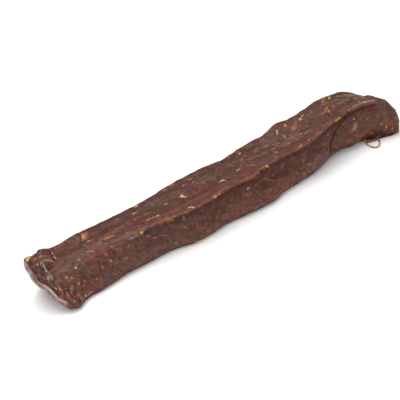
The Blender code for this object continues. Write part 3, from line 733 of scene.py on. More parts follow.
def flat_sag(x, flat, share):
    """How far the flat is pushed in at share of the way along it."""
    middle = np.sin(np.pi * share) ** 2
    if flat == 0:
        return along_curve(TOP_HOLLOW, x) * middle
    if flat == 1:
        return along_curve(FRONT_HOLLOW, x) * np.sin(np.pi * share ** FRONT_SAG_LEAN) ** 2
    if flat == 2:
        swell = smooth_step(0, BELLY_RISE, share) * smooth_step(0, BELLY_RISE, 1 - share)
        return -along_curve(BELLY, x) * swell
    return along_curve(BACK_HOLLOW, x) * middle


def bend(t, near, corner, far):
    """A place on the curve from near to far that a corner pulls at."""
    return (1 - t) ** 2 * near + 2 * t * (1 - t) * corner + t * t * far


def section(x, flat, share):
    """A point of the section at x. Flat 0 is the top, 1 the front, 2 the bottom and 3 the back."""
    edges = [TOP_BACK, TOP_FRONT, BOTTOM_FRONT, BOTTOM_BACK]
    roundings = [TOP_BACK_ROUNDING, TOP_FRONT_ROUNDING, BOTTOM_FRONT_ROUNDING, BOTTOM_BACK_ROUNDING]
    before, start, end, after = [edge_at(edges[(flat + k - 1) % 4], x) for k in range(4)]
    reach_a, reach_b = [along_curve(roundings[(flat + k) % 4], x)[..., None] for k in range(2)]
    length = np.linalg.norm(end - start, axis=-1, keepdims=True)
    along = (end - start) / length
    inward = np.stack([-along[..., 1], along[..., 0]], -1)
    a = share * length / reach_a
    b = (1 - share) * length / reach_b
    from_start = (start - unit(start - before) * reach_a, start, start + along * reach_a)
    to_end = (end - along * reach_b, end, end + unit(after - end) * reach_b)
    point = start + (end - start) * share
    point = np.where(a < 1, bend(0.5 + np.clip(a, 0, 1) / 2, *from_start), point)
    point = np.where(b < 1, bend(0.5 - np.clip(b, 0, 1) / 2, *to_end), point)
    return point + inward * flat_sag(x, flat, share)[..., None]


def outward_of(flat, share):
    """How much a sample belongs to each face, as (top, front). It is half and half on the ridge."""
    near_start = 0.5 * max(0.0, 1 - share / EDGE_BLEND)
    near_end = 0.5 * max(0.0, 1 - (1 - share) / EDGE_BLEND)
    if flat == 0:
        return 1 - near_start - near_end, near_end
    if flat == 1:
        return near_start, 1 - near_start - near_end
    return 0.0, 0.0


def fold_height(line, x, level, height, half_width):
    """Height of a fold beside its middle line; it fades at both ends."""
    first, last = line[0][0], line[-1][0]
    fade = min(FOLD_FADE, (last - first) / 3)
    offset = level - along_curve(line, np.clip(x, first, last))
    ends = between((first - fade, first + fade, last - fade, last + fade), x)
    return height * bell(offset, half_width) * ends


def unevenness(x, across, up):
    """The shallow unevenness of the solid at an array of places."""
    rise = np.zeros(len(x))
    for n, place in enumerate(np.stack([x, across, up], -1)):
        broad = Vector(place * np.array(UNEVEN_BROAD))
        fine = Vector(place * np.array(UNEVEN_FINE)) + Vector((0, UNEVEN_FINE_SHIFT, 0))
        rise[n] = UNEVEN_HEIGHT * (noise.noise(broad) + UNEVEN_FINE_SHARE * noise.noise(fine))
    return rise


def relief(grid, samples):
    """Raises the solid's own folds, lumps and unevenness."""
    for n, (flat, share) in enumerate(samples):
        top, front = outward_of(flat, share)
        if top == 0 and front == 0:
            continue
        x, across, up = grid[:, n].T.copy()
        rise = {"top": unevenness(x, across, up)}
        rise["front"] = rise["top"].copy()
        beside = {"top": across, "front": up}
        for face, line, height, half_width in FOLDS:
            rise[face] += fold_height(line, x, beside[face], height, half_width)
        for face, at, level, height, radius in LUMPS:
            rise[face] += height * bell(np.hypot(x - at, beside[face] - level), radius)
        grid[:, n, 2] += top * rise["top"]
        grid[:, n, 1] -= front * rise["front"]


def round_tip(grid, x):
    """Draws the last sections in to the middle of the tip, on a blunt curve."""
    t = np.clip((x - (RIGHT_X - TIP_LENGTH)) / TIP_LENGTH, 0.0, 1.0)
    scale = (1 - t ** TIP_BLUNTNESS) ** (1 / TIP_BLUNTNESS)
    middle = np.array(TIP_MIDDLE)
    grid[:, :, 1:] = middle + (grid[:, :, 1:] - middle) * scale[:, None, None]


def slant_ends(grid, x):
    """Leans the cut left end, tucks in its foot, and sets the back corner of the right end back."""
    across = grid[:, :, 1]
    up = grid[:, :, 2]
    left = 1 - smooth_step(LEFT_X, LEFT_X + CUT_FADE, x)[:, None]
    foot = FOOT_SET_BACK * (1 - smooth_step(0, FOOT_HEIGHT, up)) ** FOOT_POWER
    grid[:, :, 0] += left * (CUT_ACROSS_SLOPE * across + CUT_UP_SLOPE * (up - CUT_LEVEL) + foot)
    right = smooth_step(RIGHT_X - TIP_FADE, RIGHT_X, x)[:, None]
    lean = TIP_ACROSS_SLOPE * (across - TIP_CORNER[0]) + TIP_UP_SLOPE * (up - TIP_CORNER[1])
    grid[:, :, 0] += right * lean


def stations():
    """Places along the stick. They crowd in the tip, where the sections shrink."""
    x = np.linspace(LEFT_X, RIGHT_X, STATIONS)
    tip = RIGHT_X - TIP_LENGTH
    last = x > tip
    x[last] = tip + TIP_LENGTH * np.sin(0.5 * np.pi * (x[last] - tip) / TIP_LENGTH) ** TIP_CROWDING
    return x


def stick_grid():
    """Rings of points from the rim of the cut face to the tip, as an array (ring, sample, xyz)."""
    samples = section_samples()
    x = stations()
    grid = np.zeros((STATIONS, len(samples), 3))
    for n, (flat, share) in enumerate(samples):
        grid[:, n, 0] = x
        grid[:, n, 1:] = section(x, flat, share)
    relief(grid, samples)
    round_tip(grid, x)
    slant_ends(grid, x)
    return grid


def cut_face_grid(rim):
    """Rings of the cut face, from near its middle out to just inside the rim."""
    middle = rim.mean(axis=0)
    scale = (np.arange(1, CUT_FACE_STEPS) / CUT_FACE_STEPS)[:, None]
    rings = middle + (rim - middle) * scale[..., None]
    rings[..., 0] -= CUT_BULGE * (1 - scale ** CUT_BULGE_POWER)
    return rings


def grid_normals(grid):
    """Outward normals of a closed-round grid."""
    along = np.gradient(grid, axis=0)
    around = np.roll(grid, -1, axis=1) - np.roll(grid, 1, axis=1)
    return unit(np.cross(around, along))


TURNS = np.random.default_rng(TABLE_SEED).permutation(256)
LEANS = unit(np.random.default_rng(LEANS_SEED).normal(size=(256, 3)))


def soft_noise(places):
    """Gradient noise at an array of places, from about -1 to 1, with bumps about one unit across."""
    cell = np.floor(places).astype(int)
    part = places - cell
    ease = part ** 3 * (part * (part * 6 - 15) + 10)
    total = np.zeros(places.shape[:-1])
    for corner in np.ndindex(2, 2, 2):
        at = (cell + corner) & 255
        turn = TURNS[(TURNS[(TURNS[at[..., 0]] + at[..., 1]) & 255] + at[..., 2]) & 255]
        weight = np.prod(np.where(corner, ease, 1 - ease), axis=-1)
        total += weight * (LEANS[turn] * (part - corner)).sum(-1)
    return NOISE_GAIN * total


def billows(places):
    """Rounded hills with sharp creases between them, about -0.25 to 0.75."""
    return np.abs(soft_noise(places)) - BILLOW_MIDDLE


def varied(name, places):
    """A share that varies over the skin, by its row in VARIED."""
    size, shift, middle, swing, low, high = VARIED[name]
    return np.clip(middle + swing * soft_noise(places / size + shift), low, high)


def away_from(places, line):
    """How far each place is from a line of points."""
    nearest = np.full(places.shape[:-1], np.inf)
    for start, end in zip(line[:-1], line[1:]):
        run = end - start
        t = np.clip((places - start) @ run / max(run @ run, TINY), 0, 1)
        nearest = np.minimum(nearest, np.linalg.norm(places - start - t[..., None] * run, axis=-1))
    return nearest


def ridge_distance(grid):
    """Distance along the skin from the ridge: over 0 on the front, under 0 on the top."""
    step = np.linalg.norm(grid - np.roll(grid, 1, axis=1), axis=-1)
    run = np.cumsum(step, axis=1)
    return run - run[:, [FLAT_STEPS[0]]]


def face_shares():
    """How much each sample round the stick belongs to the top, to the front and to the rest."""
    shares = np.array([outward_of(flat, share) for flat, share in section_samples()])
    return shares[:, 0], shares[:, 1], 1 - shares.sum(axis=1)


def wrinkle_height(grid, place, shares):
    """Wrinkles and grain; shares are how much of each sample is on the top, the front and the rest."""
    strength = sum(part * share for part, share in zip(shares, WRINKLE_SHARE)) * varied("patches", grid)
    height = np.zeros(grid.shape[:2])
    for n, (length, across, up, rise) in enumerate(WRINKLES):
        height += rise * strength * soft_noise(place / (length, across, up) + WRINKLE_SHIFT * n)
    return height + GRAIN_HEIGHT * billows(place / GRAIN_SIZE + GRAIN_SHIFT)


def cut_height(grid, place, marks):
    """Puckers round the cut, with the corner of its rim rounded off; marks what is wet and the painted
    highlight along the lip.
    """
    up = grid[..., 2]
    behind = np.clip(grid[..., 0] - grid[RIM, :, 0], 0, None)
    on_skin = (np.arange(len(grid)) >= RIM - 1)[:, None]
    beside_cut = bell(behind, NODULE_REACH) * on_skin
    puckers = billows(place / NODULE_SIZE + NODULE_SHIFT)
    marks["lip_highlight"] = bell(behind, LIP_HIGHLIGHT_WIDTH) * on_skin * between(LIP_HIGHLIGHT_ENDS, up)
    marks["wet"] = np.clip(beside_cut * (WET_SHARE + WET_SWING * puckers), 0, 1)
    lower = NODULE_LOW_SHARE + (1 - NODULE_LOW_SHARE) * smooth_step(*NODULE_FULL, up)
    height = NODULE_HEIGHT * beside_cut * lower * (NODULE_SWING * puckers + NODULE_MIDDLE)
    corner = smooth_step(*CORNER_UP, up) * smooth_step(*CORNER_ACROSS, grid[..., 1])
    return height - RIM_ROUNDING * corner * bell(behind, RIM_ROUNDING_REACH) * on_skin


def ridge_height(grid, away, front, marks):
    """The bead, the groove and the lobe of the ridge; marks the painted red shade under it."""
    x = grid[..., 0]
    ridge = between(RIDGE_ENDS, x) * (1 + FOLD_GAIN * between(FOLD_ENDS, x))
    bead = BEAD_HEIGHT * bell(away - BEAD_AT, BEAD_WIDTH)
    groove = GROOVE_DEPTH * bell(away - GROOVE_AT, GROOVE_WIDTH)
    height = (bead - groove) * varied("lobes", grid) * ridge
    narrow = between(RIDGE_SHADE_ENDS, away)
    wide = WIDE_RIDGE_SHADE_SHARE * front * between(WIDE_RIDGE_SHADE_ENDS, away)
    redness_and_shade = np.clip(ridge, 0, 1) * np.maximum(narrow, wide)
    marks["redness_and_shade"] = np.clip(redness_and_shade * varied("redness_and_shade", grid), 0, 1)
    return height + LOBE_HEIGHT * between(LOBE_ENDS, x) * bell(away - LOBE_AT, LOBE_WIDTH)


def crease_height(grid, top):
    """Height and shade of the creases and welts, each on its own face only."""
    x, across, up = np.moveaxis(grid, -1, 0)
    height, dark = np.zeros((2,) + x.shape)
    for face, line, rise, half_width, shade in CREASES:
        level = across if face == "top" else up
        on_face = np.minimum(1, 2 * top) if face == "top" else across > BACK_FROM
        field = on_face * bell(away_from(np.stack([x, level], -1), np.array(line, float)), half_width)
        height += rise * field
        dark = np.maximum(dark, shade * field)
    return height, dark


def skin_tone(x, away, top, front):
    """Painted light and shade of the skin, by distance from the ridge, with a painted sheen round the top
    back edge.
    """
    down = (along_curve(FRONT_SHADING, away) - 1) * along_curve(FRONT_SHADING_SHARE, x) * np.minimum(1, 2 * front)
    over = (along_curve(TOP_SHADING, away) - 1) * along_curve(TOP_SHADING_SHARE, x) * np.minimum(1, 2 * top)
    round_back = np.minimum(away - away[:, :1], away[:, -1:] - away)
    back_sheen = along_curve(BACK_EDGE_SHEEN, x) * bell(round_back, BACK_EDGE_SHEEN_WIDTH)
    return 1 + np.where(away > 0, down, over) + back_sheen


def skin_height(grid, marks):
    """Height of the fine relief over the solid's form; it also fills in the marks for the colours."""
    top, front, rest = face_shares()
    x = grid[..., 0]
    away = ridge_distance(grid)
    warp = [soft_noise(grid / WARP_SIZE + k * WARP_SHIFT) for k in range(3)]
    place = grid + WARP_REACH * np.stack(warp, -1)
    creases, dark = crease_height(grid, top)
    height = wrinkle_height(grid, place, (top, front, rest)) + cut_height(grid, place, marks)
    height += ridge_height(grid, away, front, marks) + creases
    # Painted shade in the creases, in low places and on the undercut underside
    low = np.clip((blurred(height, LOW_REACH) - height) / LOW_DEPTH, 0, LOW_SHADE)
    from_edge = away - away[:, [sum(FLAT_STEPS[:2])]]
    under = between(UNDERCUT_ENDS, x) * between(UNDERCUT_DEPTHS, from_edge)
    marks["painted_shade"] = np.clip(dark + low + UNDERCUT_SHADE * under, 0, 1)
    marks["front"] = np.tile(front, (len(x), 1))
    marks["tone"] = skin_tone(x, away, top, front)
    return height


def blurred(field, reach):
    """The mean of a field over nearby rings and samples."""
    size = 2 * reach + 1
    padded = np.pad(field, ((reach, reach), (0, 0)), mode="edge")
    rings = sum(padded[ring:ring + len(field)] for ring in range(size)) / size
    return sum(np.roll(rings, turn, axis=1) for turn in range(-reach, reach + 1)) / size


def camera_axes():
    """The camera's rotation, and the way from what it looks at to the camera."""
    azimuth = np.radians(CAMERA_AZIMUTH)
    elevation = np.radians(CAMERA_ELEVATION)
    level = np.cos(elevation)
    towards = Vector((np.sin(azimuth) * level, -np.cos(azimuth) * level, np.sin(elevation)))
    roll = Quaternion((0, 0, 1), np.radians(CAMERA_ROLL))
    return (-towards).to_track_quat("-Z", "Y") @ roll, towards


def image_places(points):
    """Column, row and depth of points, given in metres, in the photograph's frame."""
    turn, towards = camera_axes()
    eye = np.array(Vector(CAMERA_TARGET) + towards * CAMERA_DISTANCE)
    axes = np.array(turn.to_matrix())
    seen = (points - eye) @ axes
    focal = CAMERA_LENS / CAMERA_SENSOR * IMAGE
    column = IMAGE / 2 + focal * seen[..., 0] / -seen[..., 2]
    row = IMAGE / 2 + focal * seen[..., 1] / seen[..., 2]
    return column, row, -seen[..., 2]


class Look:
    """The skin as the photograph sees it: finds the place on it of a pixel."""

    def __init__(self, grid, normals):
        self.grid = grid
        points = (grid + np.array(ORIGIN_SHIFT)) * MM
        self.column, self.row, self.depth = image_places(points)
        self.facing = normals @ np.array(camera_axes()[1]) > FACING_LEAST

    def ring_and_sample(self, column, row):
        off = np.where(self.facing, np.hypot(self.column - column, self.row - row), np.inf)
        close = off < off.min() + PIXEL_SLACK
        return np.unravel_index(np.argmin(np.where(close, self.depth, np.inf)), off.shape)

    def line(self, pixels):
        """Places on the skin along a line of pixels, given as column, row, column, row."""
        pixels = np.reshape(pixels, (-1, 2))
        run = np.append(0, np.cumsum(np.hypot(*np.diff(pixels, axis=0).T)))
        steps = np.linspace(0, run[-1], max(2, int(run[-1] / STROKE_STEP)))
        columns, rows = [np.interp(steps, run, pixels[:, k]) for k in range(2)]
        return np.array([self.grid[self.ring_and_sample(c, r)] for c, r in zip(columns, rows)])


def paint(marks, near, value, kind):
    """Colours the skin where a fleck is stronger than what is there."""
    here = value > marks["fleck"][near]
    marks["fleck"][near] = np.where(here, value, marks["fleck"][near])
    marks["fleck_colour"][near] = np.where(here[:, None], FLECK_COLOURS[kind], marks["fleck_colour"][near])


def draw_stroke(grid, look, marks, kind, stroke):
    """Adds a stroke to the marks, and gives where it is and its height there."""
    rise, half_width, strength, *pixels = stroke
    line = look.line(pixels)
    inside = (grid > line.min(axis=0) - 3 * half_width) & (grid < line.max(axis=0) + 3 * half_width)
    near = np.nonzero(inside.all(axis=-1))
    away = away_from(grid[near], line) * varied("width", grid[near]) / half_width
    if kind in PATCHY_STROKES:
        strength = strength * varied(PATCHY_STROKES[kind], grid[near])
    if kind in STROKE_TINTS:
        mark = marks[STROKE_TINTS[kind]]
        mark[near] = np.maximum(mark[near], strength * bell(away))
    elif kind in FLECK_COLOURS:
        edge = np.clip(1 - 0.5 * away * varied("ragged", grid[near]), 0, 1)
        paint(marks, near, strength * edge, kind)
    return near, rise * bell(away)


def fleck_field(places, ways, sizes, shift):
    """The field of a fleck, from how far along and across it each place is: 0.5 is its ragged outline."""
    reach = np.hypot(ways[0] / (sizes[0] / 2), ways[1] / (sizes[1] / 2))
    wobble = FLECK_RAGGED * soft_noise(places / FLECK_GRAIN + shift) * np.minimum(reach, FLECK_RAGGED_MOST)
    return np.clip(1 - 0.5 * (reach + wobble), 0, 1)


def round_anchor(grid, anchor, sizes):
    """What lies round a grid point, and the way to each from it."""
    near = np.nonzero(np.abs(grid - grid[anchor]).max(axis=-1) < max(sizes) + FLECK_MARGIN)
    return near, grid[near] - grid[anchor]


def skin_ways(away, normal, lean=0.0):
    """How far along the skin and across it each way goes; lean tips the first direction up."""
    along = unit(np.array([1.0, 0.0, lean]) - normal * normal[0])
    return away @ along, away @ np.cross(normal, along)


def photo_ways(look, near, column, row, degrees):
    """How far along and across a fleck each place lies in the photograph, at an angle."""
    cosine, sine = np.cos(np.radians(degrees)), np.sin(np.radians(degrees))
    right = look.column[near] - column
    risen = row - look.row[near]
    return right * cosine + risen * sine, risen * cosine - right * sine


def paint_fleck(grid, normals, look, marks, kind, fleck):
    """Stores the colour and the field of a fleck that stands out."""
    column, row, length, width, *angle = fleck
    anchor = look.ring_and_sample(column, row)
    near, away = round_anchor(grid, anchor, (length, width))
    ways = photo_ways(look, near, column, row, *angle) if angle else skin_ways(away, normals[anchor])
    value = fleck_field(grid[near], ways, (length, width), column)
    paint(marks, near, np.where(np.abs(away @ normals[anchor]) < FLECK_DEPTH, value, 0), kind)


def strew_flecks(grid, normals, marks):
    """Sets flecks at random places of the back and the underside."""
    random = np.random.default_rng(STREWN_SEED)
    rings, count = grid.shape[:2]
    for n in range(STREWN):
        ring = random.integers(CUT_FACE_STEPS + STREWN_FROM_END, rings - STREWN_FROM_END)
        anchor = (ring, random.integers(sum(FLAT_STEPS[:2]), count))
        if n % STREWN_ON_TIP == 0:
            anchor = (rings - random.integers(*TIP_RINGS), random.integers(0, count))
        sizes = (random.uniform(*STREWN_LENGTH), random.uniform(*STREWN_WIDTH))
        near, away = round_anchor(grid, anchor, sizes)
        ways = skin_ways(away, normals[anchor], random.uniform(-1, 1))
        paint(marks, near, fleck_field(grid[near], ways, sizes, n), STREWN_COLOURS[n % len(STREWN_COLOURS)])


def soften_zones(grid, look, zones):
    """A soft field round each zone."""
    field = np.zeros(grid.shape[:2])
    for column, row, length, width in zones:
        away = grid - grid[look.ring_and_sample(column, row)]
        across = np.hypot(away[..., 1], away[..., 2])
        field = np.maximum(field, np.exp(-(2 * away[..., 0] / length) ** 2 - (2 * across / width) ** 2))
    return field


def edge_set_back(grid, marks, behind):
    """How far the front edge of the cut is set back; it fades along the skin and in from the rim."""
    share = np.minimum(np.arange(len(grid)) / RIM, 1.0)[:, None] ** EDGE_SET_BACK_POWER
    fade = between(EDGE_SET_BACK_ENDS, grid[..., 2]) * (1 - smooth_step(0, EDGE_SET_BACK_REACH, behind))
    return EDGE_SET_BACK * marks["front"] * share * fade


def mark_skin(grid, normals, look, marks):
    """Fills in the marks and gives the height of the relief."""
    height = skin_height(grid, marks)
    for kind, strokes in STROKES.items():
        for stroke in strokes:
            near, rise = draw_stroke(grid, look, marks, kind, stroke)
            height[near] += rise
    for kind, flecks in FLECKS.items():
        for fleck in flecks:
            paint_fleck(grid, normals, look, marks, kind, fleck)
    strew_flecks(grid, normals, marks)
    for name, zones in ZONES.items():
        marks[name] = soften_zones(grid, look, zones)
    on_cut = (np.arange(len(grid)) < RIM)[:, None]
    marks["cut"] = on_cut * smooth_step(*CUT_SHOWS, grid[..., 2])
    marks["wet"] = np.maximum(marks["wet"], CUT_WET * marks["cut"])
    return height + FLECK_RISE * smooth_step(*FLECK_RISES, marks["fleck"])


def skin_mesh():
    """The whole skin, with the marks that its material reads as colour attributes."""
    grid = stick_grid()
    grid = np.concatenate([cut_face_grid(grid[0]), grid[:-1]])
    normals = grid_normals(grid)
    look = Look(grid, normals)
    marks = {name: np.zeros(grid.shape[:2]) for name in ("pale", "fleck")}
    marks["fleck_colour"] = np.zeros(grid.shape)
    grid = grid + normals * mark_skin(grid, normals, look, marks)[..., None]
    behind = np.clip(grid[..., 0] - grid[RIM, :, 0], 0, None)
    grid[..., 0] += along_curve(CUT_TRIM, look.row) * (1 - smooth_step(0, CUT_TRIM_REACH, behind))
    grid[..., 0] += edge_set_back(grid, marks, behind)
    grid[..., 2] = np.maximum(grid[..., 2], FLOOR_FLAT)

    mesh = closed_mesh("sausage_skin", grid)
    # The marks and lines carry painted shade and highlights and the painted shading; the zones also painted
    # sheen and shadow
    add_attribute(mesh, "marks", [marks["redness_and_shade"], marks["painted_shade"], marks["cut"], marks["wet"]])
    add_attribute(mesh, "lines", [marks["lip_highlight"], marks["pale"], marks["front"], marks["tone"]])
    add_attribute(mesh, "zones", [marks["ruddy"], marks["grey_and_sheen"], marks["deep"]])
    add_attribute(mesh, "fleck_colour", [*np.moveaxis(marks["fleck_colour"], -1, 0), marks["fleck"]])
    return mesh


def closed_mesh(name, grid):
    """A mesh of rings of points, in design millimetres, closed at both ends."""
    points = (grid.reshape(-1, 3) + np.array(ORIGIN_SHIFT)) * MM
    rows, count = grid.shape[:2]
    index = np.arange(rows * count).reshape(rows, count)
    here = index[:-1]
    ahead = index[1:]
    quads = np.stack([here, np.roll(here, -1, 1), np.roll(ahead, -1, 1), ahead], -1).reshape(-1, 4)
    faces = [tuple(q) for q in quads.tolist()]
    faces.append(tuple(index[0][::-1].tolist()))
    faces.append(tuple(index[-1].tolist()))
    mesh = bpy.data.meshes.new(name)
    mesh.from_pydata(points.tolist(), [], faces)
    mesh.shade_smooth()
    return mesh


def add_attribute(mesh, name, channels):
    """Stores up to four fields as a colour attribute."""
    values = np.ones((len(mesh.vertices), 4))
    for k, channel in enumerate(channels):
        values[:, k] = channel.ravel()
    mesh.color_attributes.new(name, "FLOAT_COLOR", "POINT").data.foreach_set("color", values.ravel())


class Recipe:
    """Adds shader nodes to a material or world and links their sockets."""

    def __init__(self, owner, shader="Principled BSDF"):
        self.owner = owner
        owner.use_nodes = True
        self.tree = owner.node_tree
        self.shader = self.tree.nodes[shader]

    def fill(self, node, inputs):
        """Links or sets a node's inputs, by name or number."""
        for name, value in inputs.items():
            if isinstance(value, bpy.types.NodeSocket):
                self.tree.links.new(value, node.inputs[name])
            else:
                node.inputs[name].default_value = value

    def add(self, kind, inputs, **settings):
        """Adds a node, fills its inputs, and gives the node."""
        node = self.tree.nodes.new("ShaderNode" + kind)
        for name, value in settings.items():
            setattr(node, name, value)
        self.fill(node, inputs)
        return node

    def place(self, stretch=1.0, shift=0.0):
        """The object's own coordinates in millimetres, squeezed so that what is drawn is longer or wider."""
        own = self.add("TexCoord", {}).outputs["Object"]
        scale = (1 / MM / stretch, 1 / MM / WIDER, 1 / MM)
        inputs = {"Vector": own, "Scale": scale, "Location": (shift, shift, shift)}
        return self.add("Mapping", inputs).outputs["Vector"]

    def slanted(self, shift):
        """The same coordinates, drawn out down the front along the stick."""
        inputs = {
            "Vector": self.add("TexCoord", {}).outputs["Object"],
            "Scale": (MM * SLANT_STRETCH, MM * MOTTLE_WIDER, MM / SLANT_STRETCH),
            "Rotation": (0.0, SLANT, 0.0),
            "Location": (MM * shift, 0.0, 0.0),
        }
        return self.add("Mapping", inputs, vector_type="TEXTURE").outputs["Vector"]

    def warped(self, place, size, reach):
        """Places pushed about by a noise, so that what is drawn there is uneven."""
        push = self.add("TexNoise", {"Vector": place, "Scale": 1.0 / size, "Detail": 2.0})
        centred = self.add("VectorMath", {0: push.outputs["Color"], 1: (0.5, 0.5, 0.5)}, operation="SUBTRACT")
        scaled = self.add("VectorMath", {0: centred.outputs[0], "Scale": 2.0 * reach}, operation="SCALE")
        return self.add("VectorMath", {0: place, 1: scaled.outputs[0]}, operation="ADD").outputs[0]

    def noise(self, place, size, detail):
        inputs = {"Vector": place, "Scale": 1.0 / size, "Detail": detail, "Roughness": PATTERN_ROUGHNESS}
        return self.add("TexNoise", inputs).outputs["Fac"]

    def spread(self, value, low, high, start=0.0, end=1.0):
        """Maps low..high smoothly to start..end."""
        inputs = {0: value, 1: low, 2: high, 3: start, 4: end}
        return self.add("MapRange", inputs, interpolation_type="SMOOTHSTEP").outputs[0]

    def pattern(self, place, size, detail, *limits):
        return self.spread(self.noise(place, size, detail), *limits)

    def mottle(self, name):
        """A pattern that is drawn out along the stick, by its row in MOTTLES."""
        shift, *row = MOTTLES[name]
        return self.pattern(self.slanted(shift), *row)

    def math(self, kind, first, second):
        return self.add("Math", {0: first, 1: second}, operation=kind).outputs[0]

    def times(self, first, second):
        return self.math("MULTIPLY", first, second)

    def mix(self, share, first, second, kind="MIX"):
        inputs = {0: share, 6: first, 7: second}
        return self.add("Mix", inputs, data_type="RGBA", blend_type=kind).outputs[2]

    def tinted(self, colour, cover, share, tint):
        """A colour with another over it, up to a share where it covers."""
        return self.mix(self.times(cover, share), colour, tint)

    def specks(self, place, size, shown, smallest, largest):
        """Scattered specks: how much of one covers a point, and a random number for each."""
        cells = self.add("TexVoronoi", {"Vector": place, "Scale": 1.0 / size})
        random = self.add("SeparateColor", {"Color": cells.outputs["Color"]})
        radius = self.spread(random.outputs[1], 0.0, 1.0, smallest / size, largest / size)
        inside = self.math("SUBTRACT", radius, cells.outputs["Distance"])
        cover = self.spread(inside, 0.0, SPECK_EDGE * smallest / size)
        there = self.spread(random.outputs[0], shown + SPECK_ONSET, shown)
        return self.times(cover, there), random.outputs[2]

    def stored(self, name):
        return self.add("Attribute", {}, attribute_name=name).outputs

    def channels(self, name):
        """The four channels of a colour attribute."""
        stored = self.stored(name)
        return [*self.add("SeparateColor", {"Color": stored["Color"]}).outputs, stored["Alpha"]]


def meat_colour(r, near, ruddy, grey_and_sheen, deep, front):
    """Dark mottled meat, ruddy in patches, redder by zone, greyer by zone with partly painted sheen, and
    darker by zone with partly painted shadow.
    """
    colour = r.mix(r.mottle("meat"), DEEP, MEAT)
    colour = r.mix(r.mottle("ruddy"), colour, RUDDY)
    colour = r.mix(r.mottle("greyish"), colour, GREYISH)
    uneven = r.pattern(near, *PATTERNS["zone"])
    colour = r.tinted(colour, r.times(ruddy, uneven), RUDDY_ZONE_SHARE, RUDDY)
    # Greyer zones are partly painted sheen, darker zones partly painted shadow
    colour = r.tinted(colour, r.times(grey_and_sheen, uneven), GREY_ZONE_SHARE, GREYISH)
    colour = r.tinted(colour, deep, DEEP_ZONE_SHARE, DEEP)
    colour = r.mix(1.0, colour, r.mottle("fine"), "MULTIPLY")
    return r.mix(r.times(front, COARSE_SHARE), colour, r.mottle("coarse"), "MULTIPLY")


def cut_colour(r, near):
    """The cut face: dried pinkish meat in coarse grains, with fat between them."""
    colour = r.mix(r.pattern(near, *PATTERNS["cut"]), CUT_DARK, CUT)
    fat, shade = r.specks(r.warped(near, *CUT_FAT_WARP), *CUT_FAT_SPECKS)
    return r.mix(r.times(fat, r.spread(shade, 0.0, 1.0, *CUT_FAT_SHARES)), colour, CUT_FAT)


def speckled(r, colour):
    """Small fat and meat specks all over the skin, in layers."""
    for place, size, shown, smallest, largest, kind, strength in SPECKS:
        cover, shade = r.specks(r.warped(r.place(*place), *SPECK_WARP), size, shown, smallest, largest)
        cover = r.times(cover, r.spread(shade, 0.0, 1.0, SPECK_LEAST * strength, strength))
        colour = r.mix(cover, colour, FLECK_COLOURS[kind] + (1.0,))
    return colour


def dried_meat():
    """Dark mottled meat under a thin glossy casing, with fat in specks and flecks, and with painted light and
    shade.
    """
    r = Recipe(bpy.data.materials.new("dried_meat"))
    near = r.place()
    redness_and_shade, painted_shade, cut, wet = r.channels("marks")
    lip_highlight, pale, front, tone = r.channels("lines")
    ruddy, grey_and_sheen, deep, _ = r.channels("zones")
    painted = r.stored("fleck_colour")

    colour = meat_colour(r, near, ruddy, grey_and_sheen, deep, front)
    colour = r.mix(front, colour, FRONT_TINT, "MULTIPLY")
    # Painted red shade under the ridge and the folds
    colour = r.tinted(colour, redness_and_shade, *TINTS["redness_and_shade"])
    # Painted light and shade from the shading mark
    colour = r.mix(1.0, colour, tone, "MULTIPLY")
    # Painted shade, painted highlights, and darker wet skin
    for mark, name in ((painted_shade, "painted_shade"), (pale, "pale"), (wet, "wet")):
        colour = r.tinted(colour, mark, *TINTS[name])
    colour = r.mix(cut, colour, cut_colour(r, near))
    # Specks, then the painted highlight along the cut's lip
    colour = r.tinted(speckled(r, colour), lip_highlight, *TINTS["lip_highlight"])
    ragged = r.math("ADD", painted["Alpha"], r.pattern(near, *PATTERNS["fleck edge"]))
    colour = r.tinted(colour, r.spread(ragged, *HALO_EDGE), HALO_SHARE, HALO)
    colour = r.tinted(colour, r.spread(ragged, *FLECK_EDGE), FLECK_SHARE, painted["Color"])

    bumps = r.math("ADD", *[r.noise(near, *sizes) for sizes in BUMP_SIZES])
    bump = r.add("Bump", {"Height": bumps, **BUMP}).outputs["Normal"]
    coat = r.math("SUBTRACT", r.spread(wet, 0.0, 1.0, *COAT_WEIGHTS), r.times(redness_and_shade, RED_SHADE_DULLS))
    rough = r.pattern(near, *PATTERNS["roughness"])
    looks = {"Base Color": colour, "Roughness": rough, "Coat Weight": coat}
    r.fill(r.shader, {**looks, "Normal": bump, "Coat Normal": bump, **GLOSS})
    return r.owner


def casing(name, dark, pale, roughness):
    """Dry casing: dark to pale along the strand."""
    r = Recipe(bpy.data.materials.new(name))
    colour = r.mix(r.pattern(r.place(), *PATTERNS["casing"]), dark, pale)
    r.fill(r.shader, {"Base Color": colour, "Roughness": roughness})
    return r.owner


def put(name, data):
    """Puts an object with this data into the scene."""
    thing = bpy.data.objects.new(name, data)
    bpy.context.scene.collection.objects.link(thing)
    return thing


def make_strand(name, line, radius, material):
    """A thin strand of casing along a line of points, closed at both ends."""
    line = np.array(line)
    at = np.arange(len(line), dtype=float)
    fine = np.linspace(0, len(line) - 1, STRAND_POINTS)
    path = np.stack([along_curve(list(zip(at, line[:, k])), fine) for k in range(3)], -1)
    ahead = unit(np.gradient(path, axis=0))
    across = unit(np.cross(ahead, np.array([0.0, 0.0, 1.0])))
    up = np.cross(across, ahead)
    turn = np.linspace(0, 2 * np.pi, STRAND_SIDES, endpoint=False)[:, None]
    ring = np.cos(turn) * across[:, None] + np.sin(turn) * up[:, None]
    grid = path[:, None] + radius * varied("strand", path)[:, None, None] * ring
    grid[..., 2] = np.maximum(grid[..., 2], FLOOR_FLAT)
    mesh = closed_mesh(name, grid)
    mesh.materials.append(material)
    strand = put(name, mesh)
    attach(strand, "root")


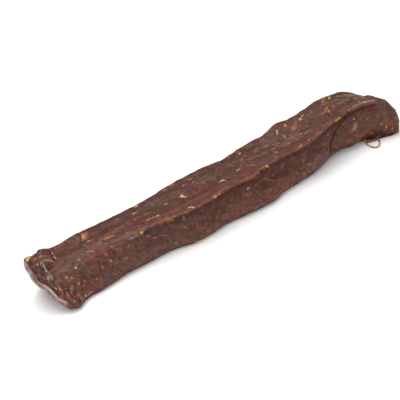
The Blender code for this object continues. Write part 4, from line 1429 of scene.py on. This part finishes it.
def make_stick():
    mesh = skin_mesh()
    mesh.materials.append(dried_meat())
    stick = put("sausage_skin", mesh)
    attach(stick, "root")
    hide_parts("sausage")


def make_floor():
    mesh = bpy.data.meshes.new("floor")
    corners = [(x * FLOOR_HALF, y * FLOOR_HALF, 0) for x, y in ((-1, -1), (1, -1), (1, 1), (-1, 1))]
    mesh.from_pydata(corners, [], [(0, 1, 2, 3)])
    r = Recipe(bpy.data.materials.new("floor"))
    r.fill(r.shader, {"Base Color": FLOOR_COLOUR, "Roughness": FLOOR_ROUGHNESS})
    mesh.materials.append(r.owner)
    floor = put("floor", mesh)


def make_light(name, place, size, watts):
    lamp = bpy.data.lights.new(name, "AREA")
    lamp.shape = "RECTANGLE"
    lamp.size, lamp.size_y = size
    lamp.energy = watts
    light = put(name, lamp)
    light.location = place
    light.rotation_euler = (Vector(LAMP_AIM) - Vector(place)).to_track_quat("-Z", "Y").to_euler()


def make_world():
    """A white sky, dimmer towards the horizon."""
    r = Recipe(bpy.data.worlds.new("studio"), "Background")
    direction = r.add("TexCoord", {}).outputs["Generated"]
    up = r.add("SeparateXYZ", {"Vector": direction}).outputs["Z"]
    limits = {"From Min": HORIZON_TOP, "To Min": HORIZON_LIGHT, "To Max": ZENITH_LIGHT}
    glow = r.add("MapRange", {"Value": up, **limits}).outputs["Result"]
    r.fill(r.shader, {"Color": WHITE, "Strength": glow})
    bpy.context.scene.world = r.owner


def make_camera():
    turn, towards = camera_axes()
    lens = bpy.data.cameras.new("camera")
    lens.lens = CAMERA_LENS
    lens.sensor_width = CAMERA_SENSOR
    lens.clip_start = CAMERA_CLIP
    camera = put("camera", lens)
    camera.location = Vector(CAMERA_TARGET) + towards * CAMERA_DISTANCE
    camera.rotation_euler = turn.to_euler()
    bpy.context.scene.camera = camera


make_camera()
make_stick()
make_strand("casing_loop", LOOP, LOOP_RADIUS, casing("casing", CASING_DARK, CASING_PALE, LOOP_ROUGHNESS))
make_strand("casing_curl", CURL, CURL_RADIUS, casing("moist_casing", CURL_DARK, CURL_PALE, CURL_ROUGHNESS))
make_floor()
make_world()
for lamp in LAMPS:
    make_light(*lamp)
bpy.context.scene.view_settings.view_transform = "Standard"
